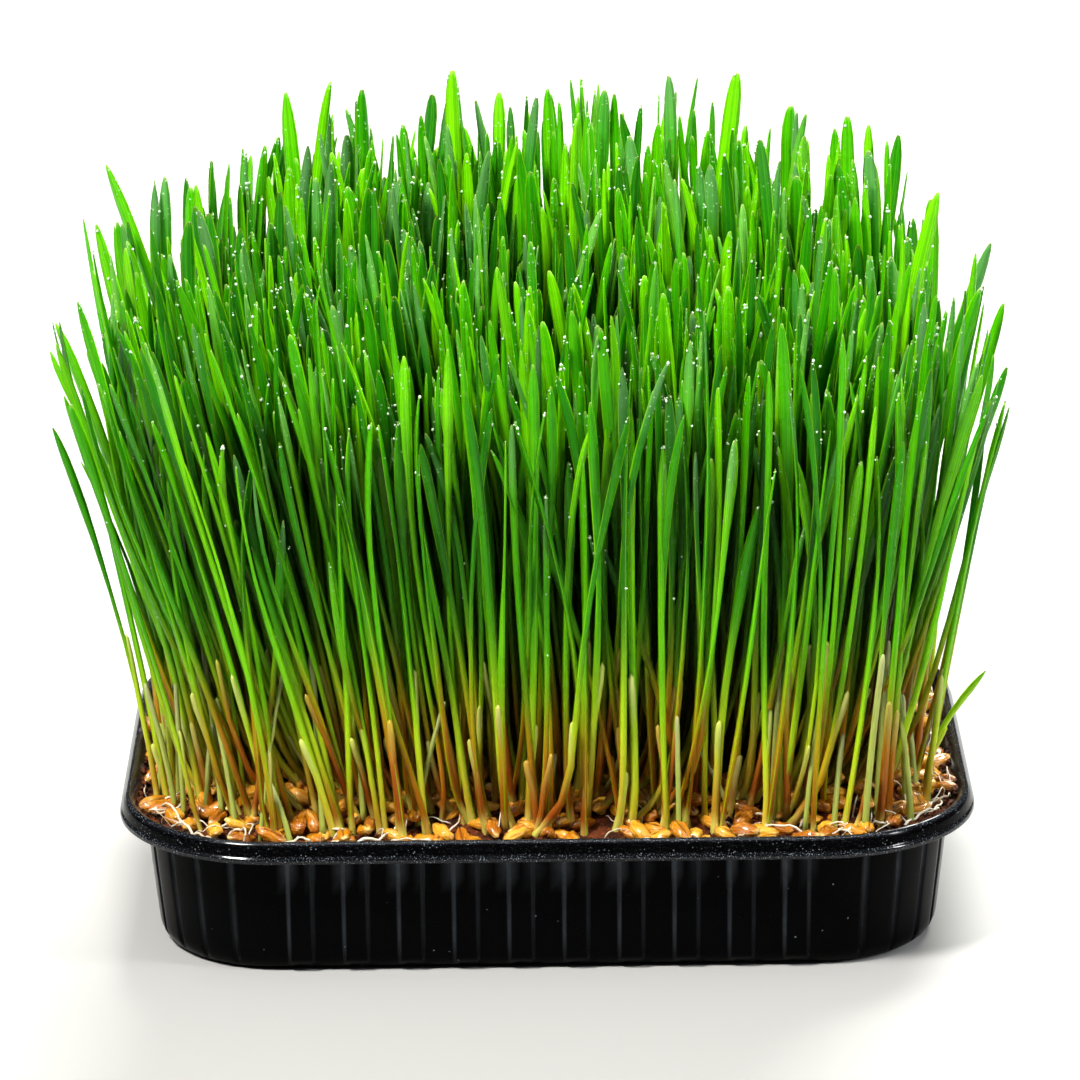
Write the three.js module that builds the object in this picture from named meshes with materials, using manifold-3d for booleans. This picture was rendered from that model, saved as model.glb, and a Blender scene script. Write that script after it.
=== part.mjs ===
// Wheatgrass in a shallow ribbed tray: the moulded tray, the soil block that
// fills it, the bed of sprouted grain on top, and the shoots, which stand in
// plain holes in tufts that share a root crown.
//
// Millimetres, +Z up. The origin is the centre of the tray's flat base, +X
// runs along the tray and -Y is its front.
import * as THREE from 'three';
import Module from 'manifold-3d';
import { ConvexGeometry } from 'three/addons/geometries/ConvexGeometry.js';
import { mergeVertices } from 'three/addons/utils/BufferGeometryUtils.js';

const wasm = await Module();
wasm.setup();

// Tray. An inset is a distance inward from the rim's outer edge.
const TRAY_LENGTH = 187;
const TRAY_WIDTH = 137;
const TRAY_CORNER = 35;
const TURN_STEPS = 6;
const CREST_HEIGHT = 32.5;

// Wall's outside from the base up: inset, height, share of the ribs' relief
const WALL_SECTION = [
  [10.4, 0, 0],
  [8.3, 2.6, 1],
  [5.9, 25.8, 1],
  [5.75, 27.3, 0.4],
  [5.6, 29, 0],
];

// Rim: inset and height, up the skirt's lip and stepped face to the crest,
// then down within the wall and back out under the hollow flange
const RIM_SECTION = [
  [0, 28],
  [0, 28.9],
  [0.5, 29.5],
  [0.8, 31.2],
  [1.2, 32.1],
  [1.8, CREST_HEIGHT],
  [8.9, CREST_HEIGHT],
  [8.9, 27.6],
  [6, 27.6],
  [2.2, 30.9],
  [1.4, 30.5],
  [0.8, 28],
];

// Inside of the tray: inset and height of the foot, the ledge and the crest
const FLOOR_THICKNESS = 1.1;
const CAVITY_SECTION = [
  [10.8, 0],
  [7.4, 28.3],
  [2.3, CREST_HEIGHT],
  [1.6, CREST_HEIGHT + 0.6],
];
const LEDGE_HEIGHT = CAVITY_SECTION[1][1];

// Upright ribs on the tray's straight walls, and grooves round its corners
const RIB_PITCH = 11.87;
const RIB_FACE = 4.3;
const RIB_BEVEL = 0.9;
const RIB_RELIEF = 0.8;
const RIBS_LONG = 10;
const RIBS_SHORT = 5;
const GROOVE_ANGLES = [20, 37, 53, 70];
const GROOVE_HALF_ANGLE = 1.8;
const GROOVE_DEPTH = 0.55;

// Soil, and the bed of grain on it
const GAP = 0.35;
const SOIL_TOP = 26.6;
const BED_TOP = 29.3;
const GRAIN_LENGTH = 7.2;
const GRAIN_BREADTH = 3.7;
const GRAIN_WAIST = [[1, 0], [0.5, 1], [-0.5, 1], [-1, 0], [-0.5, -1], [0.5, -1]];
const GRAIN_FOOT_SHARE = 0.8;
const GRAIN_FOOT_DEPTH = 1.1;
const GRAIN_RIDGE_HALF = 1.9;
const GRAIN_RIDGE_HEIGHT = 1.55;
const GRAIN_TILT = 0.36;
const GRAIN_RISE = 0.5;
const GRAIN_COUNT = 80;
const GRAIN_FROM_CROWN = 8.6;

// Stand of shoots
const STAND_LENGTH = 174;
const STAND_WIDTH = 124;
const STAND_CORNER = 32;
const SHOOT_COUNT = 290;
const PLACE_DRAW = 1.8;
const TUFT_COUNT = 40;
const SETTLING_ROUNDS = 8;

// Root crown of a tuft, and the hole that it stands in
const CROWN_RADIUS = 4.8;
const CROWN_FOOT_RADIUS = 2.9;
const CROWN_SHOULDER = 24.7;
const CROWN_REACH = 2.9;
const CROWN_BOTTOM = 17;
const CROWN_TOP = 28.7;
const CROWN_SIDES = 6;
const CROWN_HOLE = 5.6;
const CROWN_INSET = 14.8;

// Heights of the shoots' tips, which rise a little towards the back and swell
// there to a dome. A few stand tall, and a few have come up late.
const TIP_LOW = 121;
const TIP_SPREAD = 29;
const TIP_SLOPE = 0.11;
const TIP_LIMIT = 169;
const BACK_DOME = 11;
const DOME_HALF_LENGTH = 78;
const ODD_SHARE = 0.07;
const TALL_EXTRA = [8, 16];
const LATE_LACK = [22, 42];

// Lean of the whole stand, over the height that the usual shoots reach: its
// ends flare less towards the back, and its front drifts to one side
const LEAN_HEIGHT = 108;
const END_FLARE = 0.08;
const END_FLARE_FRONT = 0.0025;
const SIDE_FLARE = 0.19;
const END_DRIFT = -2.5;
const END_DRIFT_FRONT = -0.05;
const FLARE_POWER = 1.4;
const FLARE_LIMIT = 1.15;
const SWAY = 3.2;
const SWAY_POWER = 1.5;
const SWAY_WAVE = 74;

// Shoot sections from the foot up: share of the height, width, thickness
const SHOOT_SECTIONS = [
  [0, 1.7, 1.3],
  [0.46, 2.8, 0.8],
  [0.86, 3.1, 0.65],
];
const SHOOT_ROOTED = 2.2;
const FAN_POWER = 2.2;
const BLADE_TWIST = 0.5;
const TIP_NOD = 1;

const materials = {
  tray: new THREE.MeshStandardMaterial({ color: 0x0c0d10, roughness: 0.28, metalness: 0 }),
  soil: new THREE.MeshStandardMaterial({ color: 0x2b150b, roughness: 0.95, metalness: 0 }),
  grain: new THREE.MeshStandardMaterial({ color: 0xb9823c, roughness: 0.6, metalness: 0 }),
  shoot: new THREE.MeshStandardMaterial({ color: 0x4f9a1d, roughness: 0.45, metalness: 0 }),
};

// A steady draw in [0, 1) for item number index, different for each purpose.
function draw(index, purpose) {
  let bits = (Math.imul(index + 1, 2654435761) + Math.imul(purpose + 1, 40503)) >>> 0;
  bits = Math.imul(bits ^ (bits >>> 15), 2246822519) >>> 0;
  bits = Math.imul(bits ^ (bits >>> 13), 3266489917) >>> 0;
  return ((bits ^ (bits >>> 16)) >>> 0) / 4294967296;
}

// Evenly scattered points of a length x width rectangle, by steps of the
// inverse plastic number and its square, kept where accept(x, y) is true.
function scatter(count, length, width, accept) {
  const points = [];
  for (let step = 1; points.length < count; step += 1) {
    const x = ((step * 0.7548776662) % 1 - 0.5) * length;
    const y = ((step * 0.569840291) % 1 - 0.5) * width;
    if (accept(x, y)) {
      points.push(new THREE.Vector2(x, y));
    }
  }
  return points;
}

// True inside a rectangle with round corners, centred on the origin.
function insideRounded(x, y, length, width, corner) {
  const overX = Math.max(Math.abs(x) - (length / 2 - corner), 0);
  const overY = Math.max(Math.abs(y) - (width / 2 - corner), 0);
  return Math.hypot(overX, overY) <= corner;
}

// A point at an angle, in degrees, on the tray's corner arc in the quadrant
// turned by quarter right angles, inset from the rim's outer edge.
function cornerPoint(quarter, degrees, inset, z) {
  const angle = THREE.MathUtils.degToRad(quarter * 90 + degrees);
  const alongX = quarter === 0 || quarter === 3 ? 1 : -1;
  const alongY = quarter < 2 ? 1 : -1;
  const radius = TRAY_CORNER - inset;
  return new THREE.Vector3(
    alongX * (TRAY_LENGTH / 2 - TRAY_CORNER) + radius * Math.cos(angle),
    alongY * (TRAY_WIDTH / 2 - TRAY_CORNER) + radius * Math.sin(angle),
    z,
  );
}

// The plain rounded outline at one inset, counter-clockwise from above.
function plainRing(inset, z) {
  const ring = [];
  for (let quarter = 0; quarter < 4; quarter += 1) {
    for (let step = 0; step <= TURN_STEPS; step += 1) {
      ring.push(cornerPoint(quarter, (90 * step) / TURN_STEPS, inset, z));
    }
  }
  return ring;
}

// The wall's outline at one height: ribs stand out of the straight sides and
// grooves are cut round the corners, both by a share of their full depth.
function ribbedRing(inset, z, share) {
  const ring = [];
  for (let quarter = 0; quarter < 4; quarter += 1) {
    ring.push(cornerPoint(quarter, 0, inset, z));
    ring.push(cornerPoint(quarter, 10, inset, z));
    for (const middle of GROOVE_ANGLES) {
      ring.push(cornerPoint(quarter, middle - GROOVE_HALF_ANGLE, inset, z));
      ring.push(cornerPoint(quarter, middle, inset + GROOVE_DEPTH * share, z));
      ring.push(cornerPoint(quarter, middle + GROOVE_HALF_ANGLE, inset, z));
    }
    ring.push(cornerPoint(quarter, 80, inset, z));
    const end = cornerPoint(quarter, 90, inset, z);
    ring.push(end);
    const onLongSide = quarter % 2 === 0;
    const count = onLongSide ? RIBS_LONG : RIBS_SHORT;
    const forward = new THREE.Vector3(onLongSide ? -1 : 0, onLongSide ? 0 : -1, 0);
    forward.multiplyScalar(quarter < 2 ? 1 : -1);
    const outward = new THREE.Vector3(forward.y, -forward.x, 0);
    const middle = end.clone().addScaledVector(forward, -end.dot(forward));
    for (let rib = 0; rib < count; rib += 1) {
      const centre = (rib - (count - 1) / 2) * RIB_PITCH;
      const half = RIB_FACE / 2;
      for (const [offset, relief] of [
        [-half - RIB_BEVEL, 0],
        [-half, 1],
        [half, 1],
        [half + RIB_BEVEL, 0],
      ]) {
        const point = middle.clone().addScaledVector(forward, centre + offset);
        ring.push(point.addScaledVector(outward, RIB_RELIEF * relief * share));
      }
    }
  }
  return ring;
}

// Rings of equal length, joined in order: closed by a fan at each end, or
// looped so that the last ring joins the first.
function skin(rings, looped) {
  const size = rings[0].length;
  const vertices = rings.flat();
  const faces = [];
  const bands = looped ? rings.length : rings.length - 1;
  for (let band = 0; band < bands; band += 1) {
    const low = band * size;
    const high = ((band + 1) % rings.length) * size;
    for (let at = 0; at < size; at += 1) {
      const next = (at + 1) % size;
      faces.push(low + at, low + next, high + next);
      faces.push(low + at, high + next, high + at);
    }
  }
  if (!looped) {
    const last = (rings.length - 1) * size;
    const foot = vertices.push(middleOf(rings[0])) - 1;
    const top = vertices.push(middleOf(rings[rings.length - 1])) - 1;
    for (let at = 0; at < size; at += 1) {
      const next = (at + 1) % size;
      faces.push(foot, next, at);
      faces.push(top, last + at, last + next);
    }
  }
  return solidOf(vertices, faces);
}

function middleOf(ring) {
  const sum = new THREE.Vector3();
  for (const point of ring) {
    sum.add(point);
  }
  return sum.divideScalar(ring.length);
}

// A closed mesh as a solid that can be joined and cut.
function solidOf(vertices, faces) {
  const geometry = new THREE.BufferGeometry().setFromPoints(vertices);
  geometry.setIndex(faces);
  return solidFromGeometry(geometry);
}

function solidFromGeometry(source) {
  const geometry = source.clone();
  geometry.deleteAttribute('normal');
  geometry.deleteAttribute('uv');
  const merged = mergeVertices(geometry, 1e-4);
  const mesh = new wasm.Mesh({
    numProp: 3,
    vertProperties: Float32Array.from(merged.attributes.position.array),
    triVerts: Uint32Array.from(merged.index.array),
  });
  return new wasm.Manifold(mesh);
}

function geometryOf(solid) {
  const mesh = solid.getMesh();
  const geometry = new THREE.BufferGeometry();
  geometry.setAttribute('position', new THREE.BufferAttribute(mesh.vertProperties, 3));
  geometry.setIndex(new THREE.BufferAttribute(mesh.triVerts, 1));
  geometry.computeVertexNormals();
  return geometry;
}

function named(name, solid, material) {
  const mesh = new THREE.Mesh(geometryOf(solid), material);
  mesh.name = name;
  return mesh;
}

// How far the cavity's wall stands inside the rim's outer edge at a height.
function cavityInset(z) {
  const above = CAVITY_SECTION.findIndex(([, height], index) => index > 0 && height >= z);
  const [lowInset, low] = CAVITY_SECTION[above - 1];
  const [highInset, high] = CAVITY_SECTION[above];
  return THREE.MathUtils.mapLinear(z, low, high, lowInset, highInset);
}

// A block that fills the cavity between the given heights, shrunk by a gap.
function cavityBlock(levels, gap) {
  return skin(levels.map((z) => plainRing(cavityInset(z) + gap, z)), false);
}

// The tray: a ribbed shell whose rim rises inside, crests and turns down in
// a stepped skirt.
function traySolid() {
  const body = skin(WALL_SECTION.map(([inset, z, share]) => ribbedRing(inset, z, share)), false);
  const rim = skin(RIM_SECTION.map(([inset, z]) => plainRing(inset, z)), true);
  const mouth = CAVITY_SECTION[3][1];
  return body.add(rim).subtract(cavityBlock([FLOOR_THICKNESS, LEDGE_HEIGHT, mouth], 0));
}

// A many-sided upright plug, from a list of [radius, height] levels.
function plug(centre, levels) {
  const rings = levels.map(([radius, z]) => {
    const ring = [];
    for (let side = 0; side < CROWN_SIDES; side += 1) {
      const angle = (2 * Math.PI * side) / CROWN_SIDES;
      ring.push(new THREE.Vector3(
        centre.x + radius * Math.cos(angle),
        centre.y + radius * Math.sin(angle),
        z,
      ));
    }
    return ring;
  });
  return skin(rings, false);
}

// One hole for each tuft's root crown, as a single cutter.
function crownHoles(crowns) {
  const holes = crowns.map((crown) => plug(crown, [
    [CROWN_HOLE, CROWN_BOTTOM - GAP],
    [CROWN_HOLE, CREST_HEIGHT],
  ]));
  return holes.reduce((all, hole) => all.add(hole));
}

function soilSolid(holes) {
  return cavityBlock([FLOOR_THICKNESS + GAP, SOIL_TOP], GAP).subtract(holes);
}

// A plump grain, the hull of an oblong six-sided waist with a narrower foot
// and a ridge along its back. It lies on the bed at a turn and a slight tilt.
function grainSolid(place, number) {
  const points = [];
  for (const [along, across] of GRAIN_WAIST) {
    const x = (along * GRAIN_LENGTH) / 2;
    const y = (across * GRAIN_BREADTH) / 2;
    points.push(new THREE.Vector3(x, y, 0));
    points.push(new THREE.Vector3(x * GRAIN_FOOT_SHARE, y * GRAIN_FOOT_SHARE, -GRAIN_FOOT_DEPTH));
  }
  points.push(new THREE.Vector3(GRAIN_RIDGE_HALF, 0, GRAIN_RIDGE_HEIGHT));
  points.push(new THREE.Vector3(-GRAIN_RIDGE_HALF, 0, GRAIN_RIDGE_HEIGHT));
  const grain = new ConvexGeometry(points);
  grain.scale(...Array(3).fill(0.92 + 0.16 * draw(number, 20)));
  grain.rotateY((draw(number, 21) - 0.5) * GRAIN_TILT);
  grain.rotateZ(draw(number, 22) * Math.PI);
  grain.translate(place.x, place.y, BED_TOP + GRAIN_RISE * draw(number, 23));
  return solidFromGeometry(grain);
}

// The grain bed: a matted layer, trimmed to the tray's mouth, that the grains
// are half sunk in.
function bedSolid(crowns, holes) {
  const length = STAND_LENGTH - GRAIN_LENGTH;
  const width = STAND_WIDTH - GRAIN_LENGTH;
  const places = scatter(GRAIN_COUNT, length, width, (x, y) => {
    const spot = new THREE.Vector2(x, y);
    const clear = crowns.every((crown) => crown.distanceTo(spot) > GRAIN_FROM_CROWN);
    return clear && insideRounded(x, y, length, width, STAND_CORNER);
  });
  const mat = cavityBlock([SOIL_TOP + GAP, LEDGE_HEIGHT, BED_TOP], GAP).subtract(holes);
  return places.map(grainSolid).reduce((bed, grain) => bed.add(grain), mat);
}

// How the whole stand leans at a height: outward in proportion to the
// distance from the middle, with a slow sway that all neighbours share.
function leaned(x, y, z) {
  const rise = Math.max(z - CROWN_TOP, 0) / LEAN_HEIGHT;
  const spread = Math.min(rise, FLARE_LIMIT) ** FLARE_POWER;
  const sway = SWAY * rise ** SWAY_POWER;
  const turn = (2 * Math.PI) / SWAY_WAVE;
  return new THREE.Vector3(
    x * (1 + (END_FLARE - END_FLARE_FRONT * y) * spread)
      + (END_DRIFT - END_DRIFT_FRONT * y) * spread
      + sway * Math.sin(y * turn + x * turn * 0.5 + 0.8),
    y * (1 + SIDE_FLARE * spread) + sway * Math.sin(x * turn - y * turn * 0.4 + 2.1),
    z,
  );
}

function tipHeight({ number, place }) {
  const dome = BACK_DOME * (0.5 + place.y / STAND_WIDTH) * (1 - (place.x / DOME_HALF_LENGTH) ** 2);
  const usual = TIP_LOW + TIP_SPREAD * draw(number, 1) + TIP_SLOPE * place.y + dome;
  const kind = draw(number, 2);
  if (kind > 1 - ODD_SHARE) {
    return Math.min(usual + THREE.MathUtils.lerp(...TALL_EXTRA, draw(number, 3)), TIP_LIMIT);
  }
  return kind < ODD_SHARE ? usual - THREE.MathUtils.lerp(...LATE_LACK, draw(number, 3)) : usual;
}

// One shoot: a stout stem that widens into a flat blade with a leaning tip.
// It starts inside the root crown and fans out as it rises.
function shootSolid(shoot, crown, footShare) {
  const top = tipHeight(shoot);
  const foot = CROWN_TOP - SHOOT_ROOTED;
  const facing = draw(shoot.number, 4) * Math.PI;
  const place = (share) => {
    const fan = footShare + (1 - footShare) * (1 - (1 - share) ** FAN_POWER);
    const x = THREE.MathUtils.lerp(crown.x, shoot.place.x, fan);
    const y = THREE.MathUtils.lerp(crown.y, shoot.place.y, fan);
    return leaned(x, y, THREE.MathUtils.lerp(foot, top, share));
  };
  const vertices = [];
  for (const [share, width, thickness] of SHOOT_SECTIONS) {
    const middle = place(share);
    const turned = facing + BLADE_TWIST * Math.max(share - SHOOT_SECTIONS[1][0], 0);
    for (const [side, face] of [[-1, -1], [1, -1], [1, 1], [-1, 1]]) {
      const across = (side * width) / 2;
      const through = (face * thickness) / 2;
      vertices.push(new THREE.Vector3(
        middle.x + across * Math.cos(turned) - through * Math.sin(turned),
        middle.y + across * Math.sin(turned) + through * Math.cos(turned),
        middle.z,
      ));
    }
  }
  const nod = draw(shoot.number, 5) * 2 * Math.PI;
  const nodding = new THREE.Vector3(TIP_NOD * Math.cos(nod), TIP_NOD * Math.sin(nod), 0);
  const tip = vertices.push(place(1).add(nodding)) - 1;
  const faces = [0, 3, 2, 0, 2, 1];
  for (let at = 0; at < tip; at += 1) {
    const next = at % 4 === 3 ? at - 3 : at + 1;
    if (at >= tip - 4) {
      faces.push(at, next, tip);
    } else {
      faces.push(at, next, next + 4, at, next + 4, at + 4);
    }
  }
  return solidOf(vertices, faces);
}

// A tuft: its shoots, rooted in one crown.
function tuftSolid(crown, shoots) {
  const root = plug(crown, [
    [CROWN_FOOT_RADIUS, CROWN_BOTTOM],
    [CROWN_RADIUS, CROWN_SHOULDER],
    [CROWN_RADIUS, CROWN_TOP],
  ]);
  const reach = Math.max(...shoots.map((shoot) => shoot.place.distanceTo(crown)));
  const footShare = CROWN_REACH / reach;
  return shoots.reduce((tuft, shoot) => tuft.add(shootSolid(shoot, crown, footShare)), root);
}

// A tuft's crown stands at its centre, or as near as the tray's wall allows.
function crownPlace(centre) {
  const reach = new THREE.Vector2(TRAY_LENGTH / 2 - TRAY_CORNER, TRAY_WIDTH / 2 - TRAY_CORNER);
  const middle = centre.clone().clamp(reach.clone().negate(), reach);
  const out = centre.clone().sub(middle);
  return middle.add(out.clampLength(0, TRAY_CORNER - CROWN_INSET));
}

function inStand(x, y) {
  return insideRounded(x, y, STAND_LENGTH, STAND_WIDTH, STAND_CORNER);
}

function nearest(centres, place) {
  const distances = centres.map((centre) => centre.distanceTo(place));
  return distances.indexOf(Math.min(...distances));
}

// Each tuft's shoots, as the places nearest to its centre. The centres start
// evenly scattered and settle in the middle of their own shoots.
function gathered(places) {
  const centres = scatter(TUFT_COUNT, STAND_LENGTH, STAND_WIDTH, inStand);
  let tufts = [];
  for (let round = 0; round <= SETTLING_ROUNDS; round += 1) {
    tufts = centres.map(() => []);
    places.forEach((place, number) => {
      tufts[nearest(centres, place)].push({ place, number });
    });
    if (round < SETTLING_ROUNDS) {
      tufts.forEach((shoots, index) => {
        centres[index].set(0, 0);
        shoots.forEach((shoot) => centres[index].addScaledVector(shoot.place, 1 / shoots.length));
      });
    }
  }
  return { centres, tufts };
}

// Where the shoots stand in the canopy, evenly scattered with a small draw.
function shootPlaces() {
  const points = scatter(SHOOT_COUNT, STAND_LENGTH, STAND_WIDTH, inStand);
  return points.map((point, number) => new THREE.Vector2(
    point.x + (draw(number, 6) - 0.5) * PLACE_DRAW,
    point.y + (draw(number, 7) - 0.5) * PLACE_DRAW,
  ));
}

const { centres, tufts } = gathered(shootPlaces());
const crowns = centres.map(crownPlace);
const holes = crownHoles(crowns);
const wheatgrass = new THREE.Group();
wheatgrass.add(named('tray', traySolid(), materials.tray));
wheatgrass.add(named('soil', soilSolid(holes), materials.soil));
wheatgrass.add(named('grain_bed', bedSolid(crowns, holes), materials.grain));
tufts.forEach((shoots, index) => {
  const name = `shoots_${String(index + 1).padStart(2, '0')}`;
  wheatgrass.add(named(name, tuftSolid(crowns[index], shoots), materials.shoot));
});

export default wheatgrass;
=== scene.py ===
"""Wheatgrass in its black tray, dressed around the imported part.

Metres, +Z up, the tray's front towards -Y. Lengths named here are millimetres, as in the part's source.
"""

import math

import bpy
import numpy as np
from mathutils import Matrix


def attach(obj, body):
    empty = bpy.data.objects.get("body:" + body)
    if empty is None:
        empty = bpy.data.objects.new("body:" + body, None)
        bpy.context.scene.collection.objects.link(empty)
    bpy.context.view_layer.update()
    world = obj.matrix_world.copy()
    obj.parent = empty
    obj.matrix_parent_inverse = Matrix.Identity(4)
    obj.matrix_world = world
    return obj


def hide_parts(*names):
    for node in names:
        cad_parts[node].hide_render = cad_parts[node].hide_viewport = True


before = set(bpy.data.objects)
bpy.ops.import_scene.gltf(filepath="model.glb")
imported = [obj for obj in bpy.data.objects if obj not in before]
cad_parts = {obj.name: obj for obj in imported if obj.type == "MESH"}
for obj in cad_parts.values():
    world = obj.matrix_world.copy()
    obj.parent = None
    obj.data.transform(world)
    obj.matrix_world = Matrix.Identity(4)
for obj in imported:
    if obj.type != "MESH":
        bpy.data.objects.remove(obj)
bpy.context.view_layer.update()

MM = 0.001
TURN = 2 * math.pi

# Tray, as in the part. An inset is a distance inward from the rim's outer edge.
TRAY = TRAY_LENGTH, TRAY_WIDTH, TRAY_CORNER = 187.0, 137.0, 35.0
TRAY_REACH = np.array([TRAY_LENGTH, TRAY_WIDTH]) / 2 - TRAY_CORNER  # the corners' centres
RIB_PITCH, RIB_FACE, RIB_BEVEL, RIB_RELIEF, RIB_TOP, RIB_ROUND = 11.87, 4.3, 0.9, 0.8, 27.4, 1.6
RIBS_LONG, RIBS_SHORT = 10, 5
GROOVE_ANGLES, GROOVE_HALF_ANGLE, GROOVE_DEPTH = (20.0, 37.0, 53.0, 70.0), 1.8, 0.55
SLOPE_FOOT, SLOPE_INSET, SLOPE_REACH, SLOPE_STEEPNESS = 28.3, 7.4, 6.0, 4.2 / 5.1
CAVITY = ((0.0, 10.8), (SLOPE_FOOT, SLOPE_INSET), (32.5, 2.3), (33.1, 1.6))  # height, inset

# Stand of shoots, as in the part
SOIL_TOP, BED_TOP, GAP = 26.6, 29.3, 0.35
STAND = STAND_LENGTH, STAND_WIDTH, STAND_CORNER = 174.0, 124.0, 32.0
PART_SHOOTS, PLACE_DRAW, TUFT_COUNT, SETTLING_ROUNDS = 290, 1.8, 40, 8
CROWN_TOP, CROWN_INSET = 28.7, 14.8
TIP_LOW, TIP_SPREAD, TIP_SLOPE, ODD_SHARE = 121.0, 29.0, 0.11, 0.07
TIP_LIMIT, BACK_DOME, DOME_HALF_LENGTH = 169.0, 11.0, 78.0
TALL_EXTRA, LATE_LACK = (8.0, 16.0), (22.0, 42.0)
LEAN_HEIGHT, END_FLARE, END_FLARE_FRONT, SIDE_FLARE = 108.0, 0.08, 0.0025, 0.19
END_DRIFT, END_DRIFT_FRONT = -2.5, -0.05
FLARE_POWER, FLARE_LIMIT = 1.4, 1.15
SWAY, SWAY_POWER, SWAY_WAVE = 3.2, 1.5, 74.0
SHOOT_ROOTED, FAN_POWER, BLADE_TWIST, TIP_NOD, SHOOT_BEND = 2.2, 2.2, 0.5, 1.0, 0.46

# Grains, as in the part
PART_GRAINS, GRAIN_LENGTH, GRAIN_BREADTH, GRAIN_FROM_CROWN = 80, 7.2, 3.7, 8.6
GRAIN_TILT, GRAIN_RISE = 0.36, 0.5

# What is added to the part's own shoots and grains: how many, and the first draw number of each kind
ALL_SHOOTS, ALL_GRAINS, BUDS, DEW_BEADS, CRUMBS, ROOTS = 2000, 1150, 56, 4200, 1500, 170
GRAINS_FROM, CRUMBS_FROM, LONE_FROM, ROOTS_FROM, BUDS_FROM, DEW_FROM = 500, 3000, 5000, 6000, 9000, 12000
SOIL_MARKS, MAT_MARKS, MAT_RINGS, ROOT_STATIONS, SIDE_TOP = 180, 560, 46, 12, 28.2
MARK_REACH, MARK_STRETCH = 60.0, np.array([1.4, 1.0])  # of the squarish ring that marks are taken on
GRAIN_TRIES, GRAINS_APART, EDGE_BAND, EDGE_BAND_CORNER = 400, 2.6, 60, 24
MIDDLE_GRAINS, BARE_BELOW = 0.1, -0.34  # the share kept in the middle, and the ripple under which none lie
BED_MOUND, LEAN_DEPTH, ADDED_TALL_SHARE, ADDED_PLACE_DRAW = 6.2, 0.6, 0.018, 4.2
STAND_BOX = ((-100.0, 96.0), (-69.5, 76.0))  # where lines stay as they are, in x and in y
STEM_RADIUS = (0.46, 0.78)
HOOKED_SHARE, HOOK_REACH = 0.36, (4.0, 10.0)

# Shoots that stand out of the stand: foot x and y, tip x, y and z, blade width, bow
LONE_SHOOTS = np.array([
    (-85.0, -34.0, -104.5, -44.0, 119.0, 2.2, 1.5),
    (-82.0, -30.0, -104.0, -33.0, 139.0, 3.2, 4.0),
    (-80.0, -4.0, -97.0, 0.0, 152.0, 3.3, 3.0),
    (-63.0, 20.0, -96.0, 21.0, 160.0, 3.5, 1.0),
    (82.0, -20.0, 100.5, -20.0, 123.0, 2.2, -3.0),
    (79.0, 0.0, 98.5, 2.0, 145.0, 3.3, -5.0),
    (72.0, 12.0, 87.5, 12.0, 154.0, 3.5, -3.0),
    (83.0, -37.0, 95.0, -42.0, 61.0, 1.9, -3.5),
    (54.0, -50.0, 74.5, -58.0, 116.0, 2.6, 1.5),
    (-25.0, -57.0, -47.0, -62.0, 117.0, 2.4, -2.5),
    (-64.0, -54.0, -55.0, -64.0, 104.0, 2.3, 2.0),
    (16.0, -56.0, -3.0, -62.0, 108.0, 2.3, 1.0),
    (-44.0, -57.0, -62.0, -63.0, 98.0, 2.1, -1.0),
    (36.0, -57.0, 45.0, -64.0, 106.0, 2.7, -1.5),
    (30.0, -55.0, 12.0, -60.0, 96.0, 2.2, 1.5),
    (-54.0, 48.0, -57.5, 62.0, 166.0, 3.6, 2.0),
    (-41.0, 50.0, -40.0, 60.0, 167.0, 3.8, 1.0),
    (-20.0, 49.0, -19.5, 61.0, 171.0, 4.2, 1.5),
    (-8.0, 50.0, -9.0, 60.0, 166.0, 3.0, -1.0),
    (5.0, 47.0, 2.0, 59.0, 167.0, 3.2, 1.0),
    (12.0, 49.0, 15.0, 61.0, 166.0, 3.4, -1.0),
    (27.0, 48.0, 29.5, 60.0, 169.5, 3.4, 1.5),
    (34.0, 47.0, 45.0, 60.0, 170.0, 3.9, -1.5),
    (66.0, 40.0, 69.5, 50.0, 162.0, 3.2, 1.5),
    (73.0, 38.0, 81.0, 48.0, 158.0, 3.4, -2.0),
])


# ---------------------------------------------------------------- camera

def put(made, right, back, place):
    """Puts an object into the scene at a place, its X to the right and its Z back from what it looks at."""
    bpy.context.scene.collection.objects.link(made)
    turned = np.eye(4)
    turned[:3, :3] = np.stack([right, np.cross(back, right), back], axis=1)
    turned[:3, 3] = place
    made.matrix_world = Matrix(turned)


def make_camera():
    """A long lens, a little above the tray and square to its front: the camera stands back along a line that
    is raised by the elevation and turned by the azimuth, then rolled about that line."""
    azimuth, elevation, roll = (math.radians(angle) for angle in (-0.18, 18.0, -0.57))
    aim, side, distance = np.array([0.0, 0.0, 0.0781]), -0.0009, 1.324
    sensor, focal_pixels, frame_pixels = 36.0, 5970.0, 1080.0
    level = math.cos(elevation)
    back = np.array([math.sin(azimuth) * level, -math.cos(azimuth) * level, math.sin(elevation)])
    right = np.array([math.cos(azimuth), math.sin(azimuth), 0.0])
    right = right * math.cos(roll) + np.cross(back, right) * math.sin(roll)
    data = bpy.data.cameras.new("camera")
    data.sensor_width, data.lens = sensor, focal_pixels / frame_pixels * sensor
    data.clip_start, data.clip_end = 0.05, 20.0
    camera = bpy.data.objects.new("camera", data)
    put(camera, right, back, aim + right * side + back * distance)
    bpy.context.scene.camera = camera


# ---------------------------------------------------------------- shader wiring

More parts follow.
